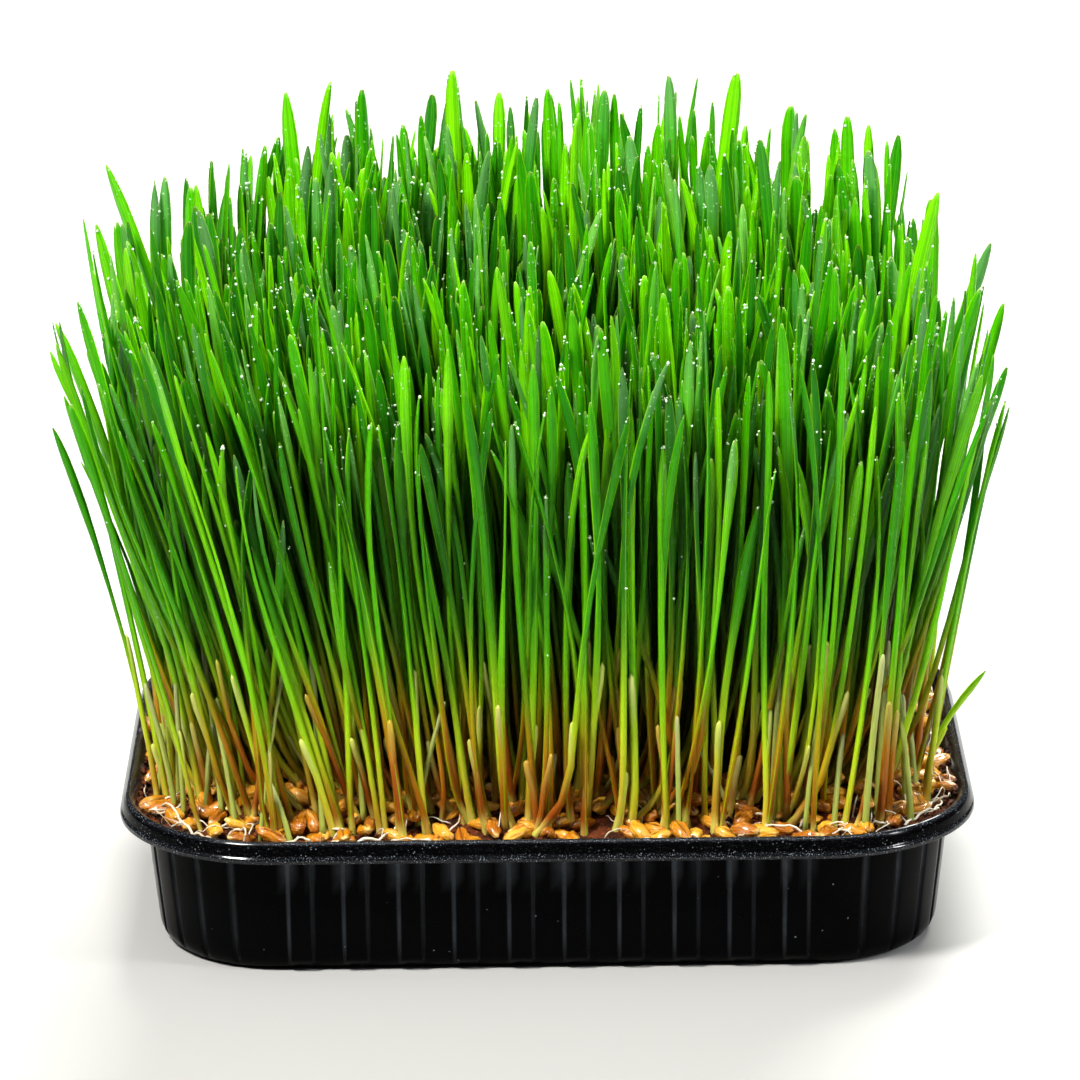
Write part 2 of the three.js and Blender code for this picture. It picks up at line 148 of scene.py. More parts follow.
class Wire:
    """A number or colour that varies over a surface. Arithmetic on it adds the Math nodes for it."""

    def __init__(self, paint, socket):
        self.paint, self.socket = paint, socket

    def __add__(self, other):
        return self.paint.maths("ADD", self, other)

    def __sub__(self, other):
        return self.paint.maths("SUBTRACT", self, other)

    def __rsub__(self, other):
        return self.paint.maths("SUBTRACT", other, self)

    def __mul__(self, other):
        return self.paint.maths("MULTIPLY", self, other)

    __radd__, __rmul__ = __add__, __mul__


def rgba(colour):
    """A plain colour with its alpha, and a wire as it is."""
    return colour if isinstance(colour, Wire) else (*colour, 1.0)


class Paint:
    """One material, built node by node."""

    def __init__(self, name):
        self.material = bpy.data.materials.new(name)
        self.material.use_nodes = True
        self.tree = self.material.node_tree
        self.tree.nodes.clear()

    def node(self, kind, settings=None, inputs=None, out=0):
        """A node of that type: its settings first, then the values or links of its sockets."""
        made = self.tree.nodes.new(kind)
        for name, value in (settings or {}).items():
            if name == "stops":
                stops = made.color_ramp.elements
                while len(stops) < len(value):
                    stops.new(1.0)
                for stop, (place, colour) in zip(stops, value):
                    stop.position, stop.color = place, colour
            else:
                setattr(made, name, value)
        for name, value in (inputs or {}).items():
            if isinstance(value, Wire):
                self.tree.links.new(value.socket, made.inputs[name])
            else:
                made.inputs[name].default_value = value
        return Wire(self, made.outputs[out]) if made.outputs else None

    def maths(self, operation, *terms):
        return self.node("ShaderNodeMath", {"operation": operation}, dict(enumerate(terms)))

    def place(self):
        """Where a point is on the object, in metres."""
        return self.node("ShaderNodeTexCoord", out="Object")

    def part_of(self, vector, axis):
        return self.node("ShaderNodeSeparateXYZ", None, {0: vector}, out=axis)

    def note(self, name):
        """A vector that the mesh carries at each vertex."""
        return self.node("ShaderNodeAttribute", {"attribute_name": name}, out="Vector")

    def noise(self, scale, detail=3.0, roughness=0.55, vector=None):
        """Cloudy noise of that many cells a metre."""
        sockets = {"Vector": vector or self.place(), "Scale": scale, "Detail": detail}
        return self.node("ShaderNodeTexNoise", None, {**sockets, "Roughness": roughness})

    def specks(self, scale, low, high):
        """Scattered dots, that many a metre: 1 nearer a dot's middle than low, 0 past high, in cells."""
        sockets = {"Vector": self.place(), "Scale": scale}
        return self.fall(self.node("ShaderNodeTexVoronoi", {"feature": "F1"}, sockets), low, high)

    def stretched(self, vector, x, y, z):
        return self.node("ShaderNodeMapping", None, {"Vector": vector, "Scale": (x, y, z)})

    def step(self, value, low, high):
        """0 below low, 1 above high, and smooth between them."""
        sockets = {"Value": value, "From Min": low, "From Max": high}
        return self.node("ShaderNodeMapRange", {"interpolation_type": "SMOOTHSTEP"}, sockets)

    def fall(self, value, low, high):
        """1 below low, 0 above high, and smooth between them."""
        return 1.0 - self.step(value, low, high)

    def mix(self, first, second, share, blend="MIX"):
        """From one colour to another by a share."""
        settings = {"data_type": "RGBA", "blend_type": blend}
        return self.node("ShaderNodeMix", settings, {0: share, 6: rgba(first), 7: rgba(second)}, out=2)

    def layered(self, colour, *layers):
        """A colour with others laid over it in turn, each by its own share."""
        for over, share in layers:
            colour = self.mix(colour, over, share)
        return colour

    def ramp(self, share, *stops):
        """A colour from a row of stops, each a place and a colour."""
        settings = {"stops": [(place, rgba(colour)) for place, colour in stops]}
        return self.node("ShaderNodeValToRGB", settings, {0: share})

    def bump(self, height, distance, strength=1.0):
        sockets = {"Height": height, "Distance": distance, "Strength": strength}
        return self.node("ShaderNodeBump", None, sockets)

    def surface(self, colour, **sockets):
        """The main shader from its colour and other sockets, with _ for a space in a socket's name."""
        named = {name.replace("_", " "): value for name, value in sockets.items()}
        return self.node("ShaderNodeBsdfPrincipled", None, {"Base Color": rgba(colour), **named})

    def finish(self, shader, thin=None, through=None):
        """The finished material. A thin one lets its share of the light through, in a colour."""
        if thin:
            glow = self.node("ShaderNodeBsdfTranslucent", None, {"Color": through})
            shader = self.node("ShaderNodeMixShader", None, {0: thin, 1: shader, 2: glow})
        self.node("ShaderNodeOutputMaterial", None, {"Surface": shader})
        return self.material


# ---------------------------------------------------------------- finishes

def tray_finish():
    """Glossy black moulded plastic: scuffed grey on the ribs' bevels, lighter on one bevel of each rib and
    towards the ribs' tops as a painted highlight, with a painted sheen along the rim's crest and lip,
    sparkling with fine dust there, and specked here and there on the wall. The mesh's note gives the share
    of a bevel."""
    paint = Paint("black_tray_plastic")
    height = paint.part_of(paint.place(), "Z") * 1000.0
    bevel = paint.part_of(paint.note("edge"), "X")
    haze = paint.noise(130.0, 4.0, 0.6)
    patches = paint.noise(420.0, 2.0, 0.6)
    grit = paint.noise(4200.0, 1.0, 0.5)
    crest = paint.step(height, 31.7, 32.3)
    lip = paint.step(height, 27.9, 28.2) * paint.fall(height, 29.2, 29.8)
    sparkle = paint.step(grit, 0.64, 0.73) * (crest + lip * 0.75 + 0.08) * paint.step(height, 27.8, 28.4)
    rim_dust = paint.specks(1500.0, 0.1, 0.2) * paint.step(patches, 0.5, 0.6)
    rim_dust = rim_dust * paint.step(height, 28.0, 29.0)
    wall_dust = paint.specks(330.0, 0.04, 0.09) * paint.step(patches, 0.56, 0.64)
    dust = paint.maths("MAXIMUM", paint.maths("MAXIMUM", rim_dust * 0.5, wall_dust * 0.3), sparkle * 0.55)
    scuff_and_highlight = bevel * paint.step(height, 0.5, 12.0) * (0.4 + patches * 0.5)
    # lighter towards the ribs' tops: painted highlight
    scuff_and_highlight = scuff_and_highlight * (0.6 + paint.step(height, 13.0, 26.5))
    colour = paint.layered(
        (0.0003, 0.0003, 0.0004),
        ((0.0012, 0.0011, 0.0013), haze),
        ((0.064, 0.075, 0.088), scuff_and_highlight * 0.9),
        # painted sheen along the rim's crest and lip: painted highlight
        ((0.03, 0.036, 0.046), crest * 0.2 + lip * 0.08),
        ((0.42, 0.47, 0.55), dust),
    )
    flow = paint.noise(260.0, 2.0, 0.5) * 0.6 + grit * 0.1 + dust * 0.5
    return paint.finish(paint.surface(
        colour,
        Roughness=haze * 0.08 + 0.14 + dust * 0.3 + scuff_and_highlight * 0.12,
        IOR=1.5,
        Specular_IOR_Level=0.025,
        Coat_Weight=crest * 0.5 + lip * 0.5 + scuff_and_highlight * 0.06,
        Coat_Roughness=0.1,
        Normal=paint.bump(flow, 0.00012, 0.5),
    ))


def coir_finish():
    """Dark red-brown coir: crumbs and fibres in three tones, rough all over."""
    paint = Paint("coir_crumb")
    grit = paint.noise(900.0, 5.0, 0.7)
    clumps = paint.noise(240.0, 3.0, 0.6)
    fibres = paint.noise(500.0, 4.0, 0.7, paint.stretched(paint.place(), 1.0, 0.25, 1.0))
    colour = paint.layered(
        (0.014, 0.004, 0.002),
        ((0.11, 0.024, 0.005), paint.step(clumps, 0.36, 0.62)),
        ((0.36, 0.09, 0.016), paint.step(grit, 0.54, 0.7) * 0.8),
        ((0.35, 0.16, 0.06), paint.step(fibres, 0.66, 0.74) * 0.6),
    )
    return paint.finish(paint.surface(
        colour,
        Roughness=0.78 - paint.step(clumps, 0.4, 0.7) * 0.25,
        Specular_IOR_Level=0.15,
        Normal=paint.bump(grit + fibres, 0.0013),
    ))


def grain_finish():
    """Wheat bran from gold to chestnut, wrinkled lengthwise and wet, with the wrinkles' ridges painted paler
    and their furrows and the crease painted darker, as painted highlight and shade. The mesh's notes give
    the length share, the nearness to the crease, a tone, and the place in the grain itself, in millimetres."""
    paint = Paint("wheat_bran")
    note = paint.note("grain")
    along, crease, tone = (paint.part_of(note, axis) for axis in "XYZ")
    mottle = paint.noise(520.0, 4.0, 0.65)
    wrinkles = paint.noise(1.0, 3.0, 0.6, paint.stretched(paint.note("husk"), 0.3, 1.5, 1.5))
    bran = paint.ramp(
        tone * 0.75 + mottle * 0.4 - 0.1,
        (0.0, (0.72, 0.37, 0.035)),
        (0.35, (0.54, 0.215, 0.007)),
        (0.75, (0.34, 0.1, 0.002)),
        (1.0, (0.16, 0.034, 0.003)),
    )
    colour = paint.layered(
        bran,
        # the wrinkles' ridges paler and their furrows darker: painted highlight and shade
        ((0.84, 0.54, 0.15), paint.step(wrinkles, 0.52, 0.7) * 0.45),
        ((0.17, 0.042, 0.004), paint.fall(wrinkles, 0.3, 0.44) * 0.4),
        # the crease darker: painted shade
        ((0.09, 0.022, 0.004), paint.step(crease, 0.3, 1.0) * 0.8),
        ((0.8, 0.6, 0.2), paint.step(along, 0.84, 0.98) * 0.6),
        ((0.2, 0.055, 0.012), paint.fall(along, 0.02, 0.16) * 0.5),
    )
    return paint.finish(paint.surface(
        colour,
        Roughness=0.16 + mottle * 0.2,
        Specular_IOR_Level=0.3,
        Coat_Weight=0.6,
        Coat_Roughness=0.06,
        Normal=paint.bump(wrinkles + mottle * 0.3, 0.0006, 0.9),
    ))


def root_finish():
    """Wet white roots, cream here and there, that let a little light through."""
    paint = Paint("white_root")
    blotch = paint.noise(300.0, 3.0, 0.6)
    colour = paint.mix((0.8, 0.74, 0.6), (0.55, 0.36, 0.16), paint.step(blotch, 0.5, 0.72))
    body = paint.surface(colour, Roughness=0.42, Normal=paint.bump(paint.noise(2500.0), 0.0002, 0.5))
    return paint.finish(body, 0.3, colour)


def shoot_notes(paint):
    """What a shoot's mesh carries: tone, warmth, distance from the tip, and a map across and up it."""
    note = paint.note("shoot")
    chart = paint.node("ShaderNodeUVMap", {"uv_map": "blade"})
    return *(paint.part_of(note, axis) for axis in "XYZ"), chart


def stem_colours(paint, rise, tone, warm):
    """A shoot's colour from its foot up: white-green, cream or red-brown, yellow-green, green."""
    foot = paint.mix((0.7, 0.52, 0.035), (0.32, 0.06, 0.002), paint.step(warm, 0.14, 0.4))
    low = paint.mix((0.56, 0.72, 0.012), (0.5, 0.16, 0.002), paint.step(warm, 0.3, 0.64))
    middle = paint.mix((0.25, 0.7, 0.002), (0.1, 0.46, 0.001), tone)
    shift = rise + tone * 0.1 - 0.05
    young = paint.fall(rise, 0.012, 0.048) * (0.85 - paint.step(tone, 0.5, 0.8) * 0.5)
    return paint.layered(
        foot,
        (low, paint.step(shift, 0.03, 0.2)),
        (middle, paint.step(shift, 0.12, 0.46)),
        ((0.84, 0.74, 0.15), young),
    )


def painted_depth_shade(paint, colour):
    """The colour as it is at the stand's outside, and much darker and browner deep inside it: painted shade
    where the stand's own shoots would shadow it.
    """
    return paint.mix(colour, (0.14, 0.13, 0.08), paint.part_of(paint.note("inside"), "X"), "MULTIPLY")


def blade_finish():
    """A wheat blade: waxy green with lengthwise veins, paler at the edges, grey with bloom, darker deep in
    the stand as painted shade, and lit through from behind. Near some tips it has pale specks of water,
    whose paleness is a painted glint."""
    paint = Paint("grass_blade")
    tone, warm, tipward, chart = shoot_notes(paint)
    across, rise = paint.part_of(chart, "X"), paint.part_of(chart, "Y")
    stripes = paint.noise(1.0, 2.0, 0.5, paint.stretched(chart, 22.0, 2.6, 1.0))
    blotch = paint.noise(70.0, 3.0, 0.6)
    deep = paint.ramp(
        tone + blotch * 0.5 - 0.25,
        (0.0, (0.012, 0.14, 0.008)),
        (0.3, (0.022, 0.28, 0.001)),
        (0.62, (0.08, 0.5, 0.001)),
        (1.0, (0.25, 0.79, 0.002)),
    )
    leaf = paint.step(rise, 0.25, 0.5)
    veins = paint.maths("SINE", across * 43.0 + stripes * 5.0)
    edge = paint.maths("ABSOLUTE", across - 0.5) * 2.0
    bloom = paint.step(warm, 0.72, 0.9) * paint.fall(tipward, 0.2, 1.0) * paint.step(rise, 0.45, 0.6)
    tip_pale = paint.fall(tipward, 0.01, 0.09) * paint.step(rise, 0.4, 0.6)
    tip_tint = paint.mix((0.16, 0.1, 0.01), (0.5, 0.52, 0.16), paint.step(tone, 0.25, 0.5))
    green = paint.layered(
        stem_colours(paint, rise, tone, warm),
        (deep, paint.step(rise + tone * 0.1, 0.22, 0.56)),
        ((0.2, 0.67, 0.002), paint.step(stripes, 0.52, 0.68) * 0.4),
        ((0.012, 0.13, 0.003), paint.step(veins, 0.1, 1.0) * leaf * 0.4),
        ((0.33, 0.8, 0.003), paint.step(edge, 0.78, 1.0) * 0.65),
        ((0.008, 0.1, 0.002), paint.fall(edge, 0.0, 0.14) * leaf * 0.45),
        ((0.17, 0.31, 0.15), bloom * 0.5),
        (tip_tint, tip_pale * 0.45),
    )
    damp = paint.step(warm, 0.45, 0.6) * paint.fall(tipward, 0.15, 0.95) * paint.step(rise, 0.3, 0.5)
    # water specks: their pale colour is a painted glint of the drops, their lower roughness is real
    beads = paint.specks(780.0, 0.1, 0.2) * damp
    colour = paint.mix(painted_depth_shade(paint, green), (0.66, 0.8, 0.55), beads * 0.9)
    body = paint.surface(
        colour,
        Roughness=0.2 + blotch * 0.16 + bloom * 0.2 - beads * 0.12,
        Specular_IOR_Level=0.22,
        Normal=paint.bump(stripes, 0.0004, 0.6),
    )
    return paint.finish(body, 0.25, paint.mix(colour, (0.25, 0.9, 0.0), 0.5))


def sheath_finish():
    """The pale skin round a young stem: white-green, stained red-brown on some, thin enough to glow, and
    darker deep in the stand as painted shade.
    """
    paint = Paint("pale_sheath")
    tone, warm, tipward, chart = shoot_notes(paint)
    streaks = paint.noise(1.0, 2.0, 0.5, paint.stretched(chart, 9.0, 14.0, 1.0))
    pale = paint.mix((0.5, 0.58, 0.09), (0.62, 0.64, 0.2), tone)
    pale = paint.mix(pale, (0.5, 0.33, 0.035), paint.step(warm, 0.4, 0.8) * 0.7)
    colour = painted_depth_shade(paint, paint.layered(
        stem_colours(paint, paint.part_of(chart, "Y"), tone, warm),
        (pale, paint.fall(tipward, 0.2, 1.0) * (0.85 - paint.step(warm, 0.5, 0.9) * 0.3)),
        ((0.8, 0.6, 0.12), paint.step(streaks, 0.52, 0.7) * 0.25),
    ))
    normal = paint.bump(streaks, 0.0002, 0.5)
    return paint.finish(
        paint.surface(colour, Roughness=0.34, Specular_IOR_Level=0.25, Normal=normal), 0.28, colour
    )


def bud_finish():
    """The blunt white skin of a shoot that hasn't opened yet, greyish at its tip, darker deep in the stand
    as painted shade.
    """
    paint = Paint("white_bud")
    _, warm, tipward, chart = shoot_notes(paint)
    streaks = paint.noise(1.0, 2.0, 0.5, paint.stretched(chart, 9.0, 14.0, 1.0))
    colour = painted_depth_shade(paint, paint.layered(
        (0.46, 0.54, 0.09),
        ((0.5, 0.54, 0.24), 1.0 - tipward),
        ((0.3, 0.33, 0.08), paint.step(streaks, 0.45, 0.7) * 0.6),
        ((0.4, 0.16, 0.03), paint.step(warm, 0.6, 0.9) * paint.step(tipward, 0.5, 1.0) * 0.6),
    ))
    body = paint.surface(colour, Roughness=0.36, Normal=paint.bump(streaks, 0.0002, 0.5))
    return paint.finish(body, 0.3, colour)


def dew_finish():
    """Water beads: pale, as a painted glint, and very glossy."""
    paint = Paint("dew")
    gloss = {"Roughness": 0.06, "Specular_IOR_Level": 0.9, "Coat_Weight": 1.0, "Coat_Roughness": 0.03}
    return paint.finish(paint.surface((0.55, 0.7, 0.5), **gloss))


def floor_finish():
    """A plain pale sweep, a little uneven in gloss."""
    paint = Paint("pale_floor")
    cloud = paint.noise(3.0, 3.0, 0.5)
    colour = paint.mix((0.29, 0.287, 0.28), (0.312, 0.309, 0.302), cloud)
    return paint.finish(paint.surface(colour, Roughness=0.6 + cloud * 0.08))


# ---------------------------------------------------------------- meshes

def mesh_of(name, points, quads, tris, materials, chosen=None, notes=None, chart=None):
    """A mesh object from points in millimetres, four- and three-cornered faces as rows of point numbers, and
    the material number of each face. Notes are per-point vectors, and the chart is a per-point map."""
    mesh = bpy.data.meshes.new(name)
    corners = np.concatenate([quads.ravel(), tris.ravel()]).astype(np.int32)
    sizes = np.concatenate([np.full(len(quads), 4), np.full(len(tris), 3)])
    mesh.vertices.add(len(points))
    mesh.vertices.foreach_set("co", (points * MM).astype(np.float32).ravel())
    mesh.loops.add(len(corners))
    mesh.loops.foreach_set("vertex_index", corners)
    mesh.polygons.add(len(sizes))
    mesh.polygons.foreach_set("loop_start", (np.cumsum(sizes) - sizes).astype(np.int32))
    mesh.polygons.foreach_set("use_smooth", np.ones(len(sizes), bool))
    if chosen is not None:
        mesh.polygons.foreach_set("material_index", chosen.astype(np.int32))
    if chart is not None:
        layer = mesh.uv_layers.new(name="blade")
        layer.uv.foreach_set("vector", chart[corners].astype(np.float32).ravel())
    for key, values in (notes or {}).items():
        note = mesh.attributes.new(key, "FLOAT_VECTOR", "POINT")
        note.data.foreach_set("vector", values.astype(np.float32).ravel())
    for material in materials:
        mesh.materials.append(material)
    mesh.update(calc_edges=True)
    mesh.validate()
    made = bpy.data.objects.new(name, mesh)
    bpy.context.scene.collection.objects.link(made)
    return made


def settle(piece, slot, *nodes):
    """The piece rides on the part's one body, and stands for those nodes; its slot is not used."""
    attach(piece, "root")
    if nodes:
        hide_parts(*nodes)


def together(*parts):
    """Arrays and numbers side by side, as the rows of one array of vectors."""
    return np.stack(np.broadcast_arrays(*parts), -1)


def strand_faces(count, stations, sides):
    """Faces of many closed strands. Points come by strand, station and side, then all foot poles, then all
    tip poles. Neighbours in station and side make a quad, and each end is a fan to its pole."""
    side = np.arange(sides)
    after = (side + 1) % sides
    first = np.arange(count)[:, None] * (stations * sides)
    low = first[:, None] + np.arange(stations - 1)[:, None] * sides
    quads = together(low + side, low + after, low + sides + after, low + sides + side)
    foot_pole = count * stations * sides + np.arange(count)[:, None]
    top = first + (stations - 1) * sides
    feet = together(first + after, first + side, foot_pole)
    tips = together(top + side, top + after, foot_pole + count)
    return quads.reshape(-1, 4), np.concatenate([feet.reshape(-1, 3), tips.reshape(-1, 3)])


def with_poles(rings, feet=None, tips=None):
    """Rings of shape (strand, station, side, 3) as one list of points, then all foot poles, then all tip
    poles, which are the middles of the end rings unless they are given."""
    feet = rings[:, 0].mean(1) if feet is None else feet
    tips = rings[:, -1].mean(1) if tips is None else tips
    return np.concatenate([rings.reshape(-1, 3), feet, tips])


def strand_of_point(count, stations, sides):
    """The strand that each point belongs to, in the order of with_poles."""
    strand = np.arange(count)
    return np.concatenate([np.repeat(strand, stations * sides), strand, strand])


def add_strands(name, material, slot, nodes, rings, feet=None, tips=None, notes=None):
    """A piece of closed strands in one finish."""
    points = with_poles(rings, feet, tips)
    piece = mesh_of(name, points, *strand_faces(*rings.shape[:3]), [material], notes=notes)
    settle(piece, slot, *nodes)


def raised(plan, z):
    """Points of a plan at their heights."""
    return together(plan[..., 0], plan[..., 1], z)


def unit(vectors):
    return vectors / np.maximum(np.linalg.norm(vectors, axis=-1, keepdims=True), 1e-9)


def heading(turn):
    """The direction in plan at an angle."""
    return together(np.cos(turn), np.sin(turn))


def level_line(turn):
    """A level direction for each strand, at all its stations."""
    return raised(heading(turn), 0.0)[:, None]


def round_section(size, sides=6):
    """Corners evenly round a circle of each size."""
    return size[..., None, None] * heading(np.arange(sides) * TURN / sides)


def carried(path, across, section):
    """Sections carried along paths. A point is the path's point, plus the section's first number along the
    across direction made square to the path, plus its second along the direction square to both."""
    along = unit(np.gradient(path, axis=1))
    across = across + 0 * path
    across = unit(across - along * (across * along).sum(-1, keepdims=True))
    through = np.cross(along, across)
    return path[:, :, None] + across[:, :, None] * section[..., :1] + through[:, :, None] * section[..., 1:]


# ---------------------------------------------------------------- draws and places

def draw(index, purpose):
    """The part's steady draw in [0, 1) for each item number, different for each purpose."""
    index = np.asarray(index, np.uint64)
    low = np.uint64(0xFFFFFFFF)
    bits = ((index + np.uint64(1)) * np.uint64(2654435761) + np.uint64((purpose + 1) * 40503)) & low
    bits = ((bits ^ (bits >> np.uint64(15))) * np.uint64(2246822519)) & low
    bits = ((bits ^ (bits >> np.uint64(13))) * np.uint64(3266489917)) & low
    return (bits ^ (bits >> np.uint64(16))) / 4294967296.0


def signed(index, purpose):
    return draw(index, purpose) * 2.0 - 1.0


def lerp(low, high, share):
    return low + (high - low) * share


def drawn(low, high, index, purpose, power=1.0):
    """A draw between two values, nearer to the low one for a higher power."""
    return lerp(low, high, draw(index, purpose) ** power)


def smooth(value, low, high):
    share = np.clip((value - low) / (high - low), 0.0, 1.0)
    return share * share * (3.0 - 2.0 * share)


def outline_inset(x, y, length, width, corner):
    """How far a place is inside the outline of a rounded rectangle."""
    over_x = np.maximum(np.abs(x) - (length / 2 - corner), 0.0)
    over_y = np.maximum(np.abs(y) - (width / 2 - corner), 0.0)
    return corner - np.hypot(over_x, over_y)


def scatter(count, length, width, corner):
    """The part's even scatter over a rounded rectangle: each step adds the inverse plastic number to one
    share and its square to the other, and only the fractions are kept."""
    step = np.arange(1, count * 3 + 60)
    x = ((step * 0.7548776662) % 1 - 0.5) * length
    y = ((step * 0.569840291) % 1 - 0.5) * width
    kept = outline_inset(x, y, length, width, corner) >= 0
    return together(x, y)[kept][:count]


def shoot_places(count):
    """Where the shoots stand in the canopy. The first are the part's own."""
    number = np.arange(count)
    spread = np.where(number < PART_SHOOTS, PLACE_DRAW, ADDED_PLACE_DRAW)
    return scatter(count, *STAND) + together(draw(number, 6) - 0.5, draw(number, 7) - 0.5) * spread[:, None]


def nearest(centres, places):
    return np.linalg.norm(places[:, None] - centres[None], axis=2).argmin(1)


def tuft_centres(places):
    """The part's tufts: centres that start evenly scattered and settle in the middle of their own shoots."""
    centres = scatter(TUFT_COUNT, *STAND)
    for _ in range(SETTLING_ROUNDS):
        owner = nearest(centres, places)
        sums = [np.bincount(owner, places[:, axis], TUFT_COUNT) for axis in (0, 1)]
        centres = together(*sums) / np.bincount(owner, minlength=TUFT_COUNT)[:, None]
    return centres


def crown_places(centres):
    """A tuft's crown stands at its centre, or as near as the tray's wall allows."""
    middle = np.clip(centres, -TRAY_REACH, TRAY_REACH)
    out = centres - middle
    far = np.maximum(np.linalg.norm(out, axis=1, keepdims=True), 1e-9)
    return middle + out * np.minimum(1.0, (TRAY_CORNER - CROWN_INSET) / far)


def flare(z):
    """How far up the stand a height is, and the share of the lean that it has there."""
    rise = np.maximum(z - CROWN_TOP, 0.0) / LEAN_HEIGHT
    return rise, np.minimum(rise, FLARE_LIMIT) ** FLARE_POWER


def leaned(x, y, z):
    """The stand's lean at a height: outward in proportion to the distance from the middle, and a sway."""
    rise, spread = flare(z)
    sway = SWAY * rise**SWAY_POWER
    turn = TURN / SWAY_WAVE
    drift = (END_DRIFT - END_DRIFT_FRONT * y) * spread
    out_x = x * (1 + (END_FLARE - END_FLARE_FRONT * y) * spread) + drift
    return together(
        out_x + sway * np.sin(y * turn + x * turn * 0.5 + 0.8),
        y * (1 + SIDE_FLARE * spread) + sway * np.sin(x * turn - y * turn * 0.4 + 2.1),
        z,
    )


def usual_tip(x, y, share):
    """The height of a usual tip: within a band that rises towards the back and swells to a dome there."""
    dome = BACK_DOME * (0.5 + y / STAND_WIDTH) * (1 - (x / DOME_HALF_LENGTH) ** 2)
    return TIP_LOW + TIP_SPREAD * share + TIP_SLOPE * y + dome


def tip_heights(number, place):
    """The part's tip heights: most of them usual ones, a few tall and a few late."""
    usual = usual_tip(place[:, 0], place[:, 1], draw(number, 1))
    kind, size = draw(number, 2), draw(number, 3)
    tall_share = np.where(number < PART_SHOOTS, ODD_SHARE, ADDED_TALL_SHARE)
    tall = np.minimum(usual + lerp(*TALL_EXTRA, size), TIP_LIMIT)
    usual = np.where(kind > 1 - tall_share, tall, usual)
    return np.where(kind < ODD_SHARE, usual - lerp(*LATE_LACK, size), usual)


# ---------------------------------------------------------------- shoots

BLADE_STATIONS = np.array(
    [0, 0.02, 0.038, 0.058, 0.085, 0.125, 0.2, 0.32, 0.45, 0.58, 0.7, 0.8, 0.875, 0.925, 0.96, 0.982, 0.995]
)
BLADE_ACROSS = np.array([1.0, 0.5, 0.0, 0.25, 0.5, 0.75])
SHEATH_STATIONS = np.array([0.0, 0.12, 0.35, 0.65, 0.88, 0.97, 1.0])
SHEATH_SIZES = np.array([1.5, 1.15, 1.0, 0.98, 0.92, 0.74, 0.1])
BUD_STATIONS = np.array([0.0, 0.1, 0.3, 0.55, 0.78, 0.92, 0.97, 0.993])
BUD_SIZES = np.array([1.3, 1.05, 1.0, 0.98, 0.95, 0.9, 0.76, 0.42])


def held(value, low, high, give=6.0):
    """A value left alone between two limits, and let out past them by no more than the give."""
    over = np.maximum(value - high, 0.0) + np.minimum(value - low, 0.0)
    return value - over + give * np.tanh(over / give)


def shoot_lines(number, foot, place, base, top, shares):
    """Centrelines of shoots. The height goes from just inside the bed to the tip by the share, and the plan
    from the foot to the place by the part's fan, leaned with the stand. Each has its own lean, bow and nod,
    and a heel that fades with the height above the bed. On some it is a hook, which fades more slowly."""
    own = number < PART_SHOOTS
    z = lerp(base[:, None], top[:, None], shares[None])
    fan = 1 - (1 - shares) ** FAN_POWER
    plan = lerp(foot[:, None], place[:, None], fan[None, :, None])
    path = leaned(plan[..., 0], plan[..., 1], z)
    lean = np.where(own, 1.5, 17.0) * np.abs(signed(number, 31)) ** 1.8
    lean_turn = draw(number, 32) * TURN
    outward = (np.cos(lean_turn) * place[:, 0] > 0) & (np.abs(place[:, 0]) > 52) & ~own
    lean = np.where(outward, 0.3 * lean, lean)
    bow = np.where(own, 1.2, 3.0) * signed(number, 33)
    nod = TIP_NOD + np.where(own, 1.0, 6.0) * draw(number, 35) ** 3
    hooked = ~own & (draw(number, 55) < HOOKED_SHARE)
    heel = np.where(own, 1.6, 3.0) * draw(number, 38) ** 1.5
    heel = np.where(hooked, drawn(*HOOK_REACH, number, 38), heel)
    sideways = math.pi * (draw(number, 39) > 0.5) + 0.7 * signed(number, 57)
    heel_turn = np.where(hooked, sideways, draw(number, 39) * TURN)
    outward = ((heading(heel_turn) * foot).sum(-1) > 0) & ~own
    heel_turn = np.where(outward, heel_turn + math.pi, heel_turn)
    above = np.maximum(z - base[:, None] - SHOOT_ROOTED, 0.0)
    for size, turn, curve in (
        (lean, lean_turn, shares**1.5),
        (bow, draw(number, 34) * TURN, np.sin(math.pi * shares)),
        (nod, draw(number, 5) * TURN, np.maximum(shares - 0.6, 0.0) ** 2 / 0.16),
        (heel, heel_turn, np.exp(-above / np.where(hooked, 6.5, 4.6)[:, None])),
    ):
        shift = (size[:, None] * heading(turn))[:, None] * curve[..., None]
        path[..., :2] += shift * np.array([1.0, LEAN_DEPTH])
    for axis in (0, 1):
        path[..., axis] = held(path[..., axis], *STAND_BOX[axis])
    return path


def lone_shoots():
    """The shoots that stand out: their numbers, a line from the foot to the tip that bows to one side, and
    their foot heights, tip heights and widths."""
    foot_x, foot_y, tip_x, tip_y, top, width, bow = LONE_SHOOTS.T[:, :, None]
    shares = BLADE_STATIONS[None]
    base = bed_height(foot_x, foot_y) - SHOOT_ROOTED
    out = shares**1.2
    path = together(
        lerp(foot_x, tip_x, out) + bow * np.sin(math.pi * shares),
        lerp(foot_y, tip_y, out),
        lerp(base, top, shares),
    )
    return np.arange(len(LONE_SHOOTS)) + LONE_FROM, path, base[:, 0], top[:, 0], width[:, 0]


def blade_sections(half, stem, opened, thick, cup):
    """Sections with six corners. Closed, they are a round stem. Open, they are folded along the middle: two
    edges, the fold between them, and three corners behind. In between, the corners move straight from one to
    the other."""
    stem_section = stem[..., None, None] * heading(np.radians([0.0, 90.0, 180.0, 226.0, 270.0, 314.0]))
    rise = half * cup
    behind = 0.42 * rise - 0.62 * thick
    open_x = together(half, 0.0, -half, -0.5 * half, 0.0, 0.5 * half)
    open_y = together(rise, thick / 2, rise, behind, -thick / 2, behind) - 0.45 * rise[..., None]
    return lerp(stem_section, together(open_x, open_y), opened[..., None, None])


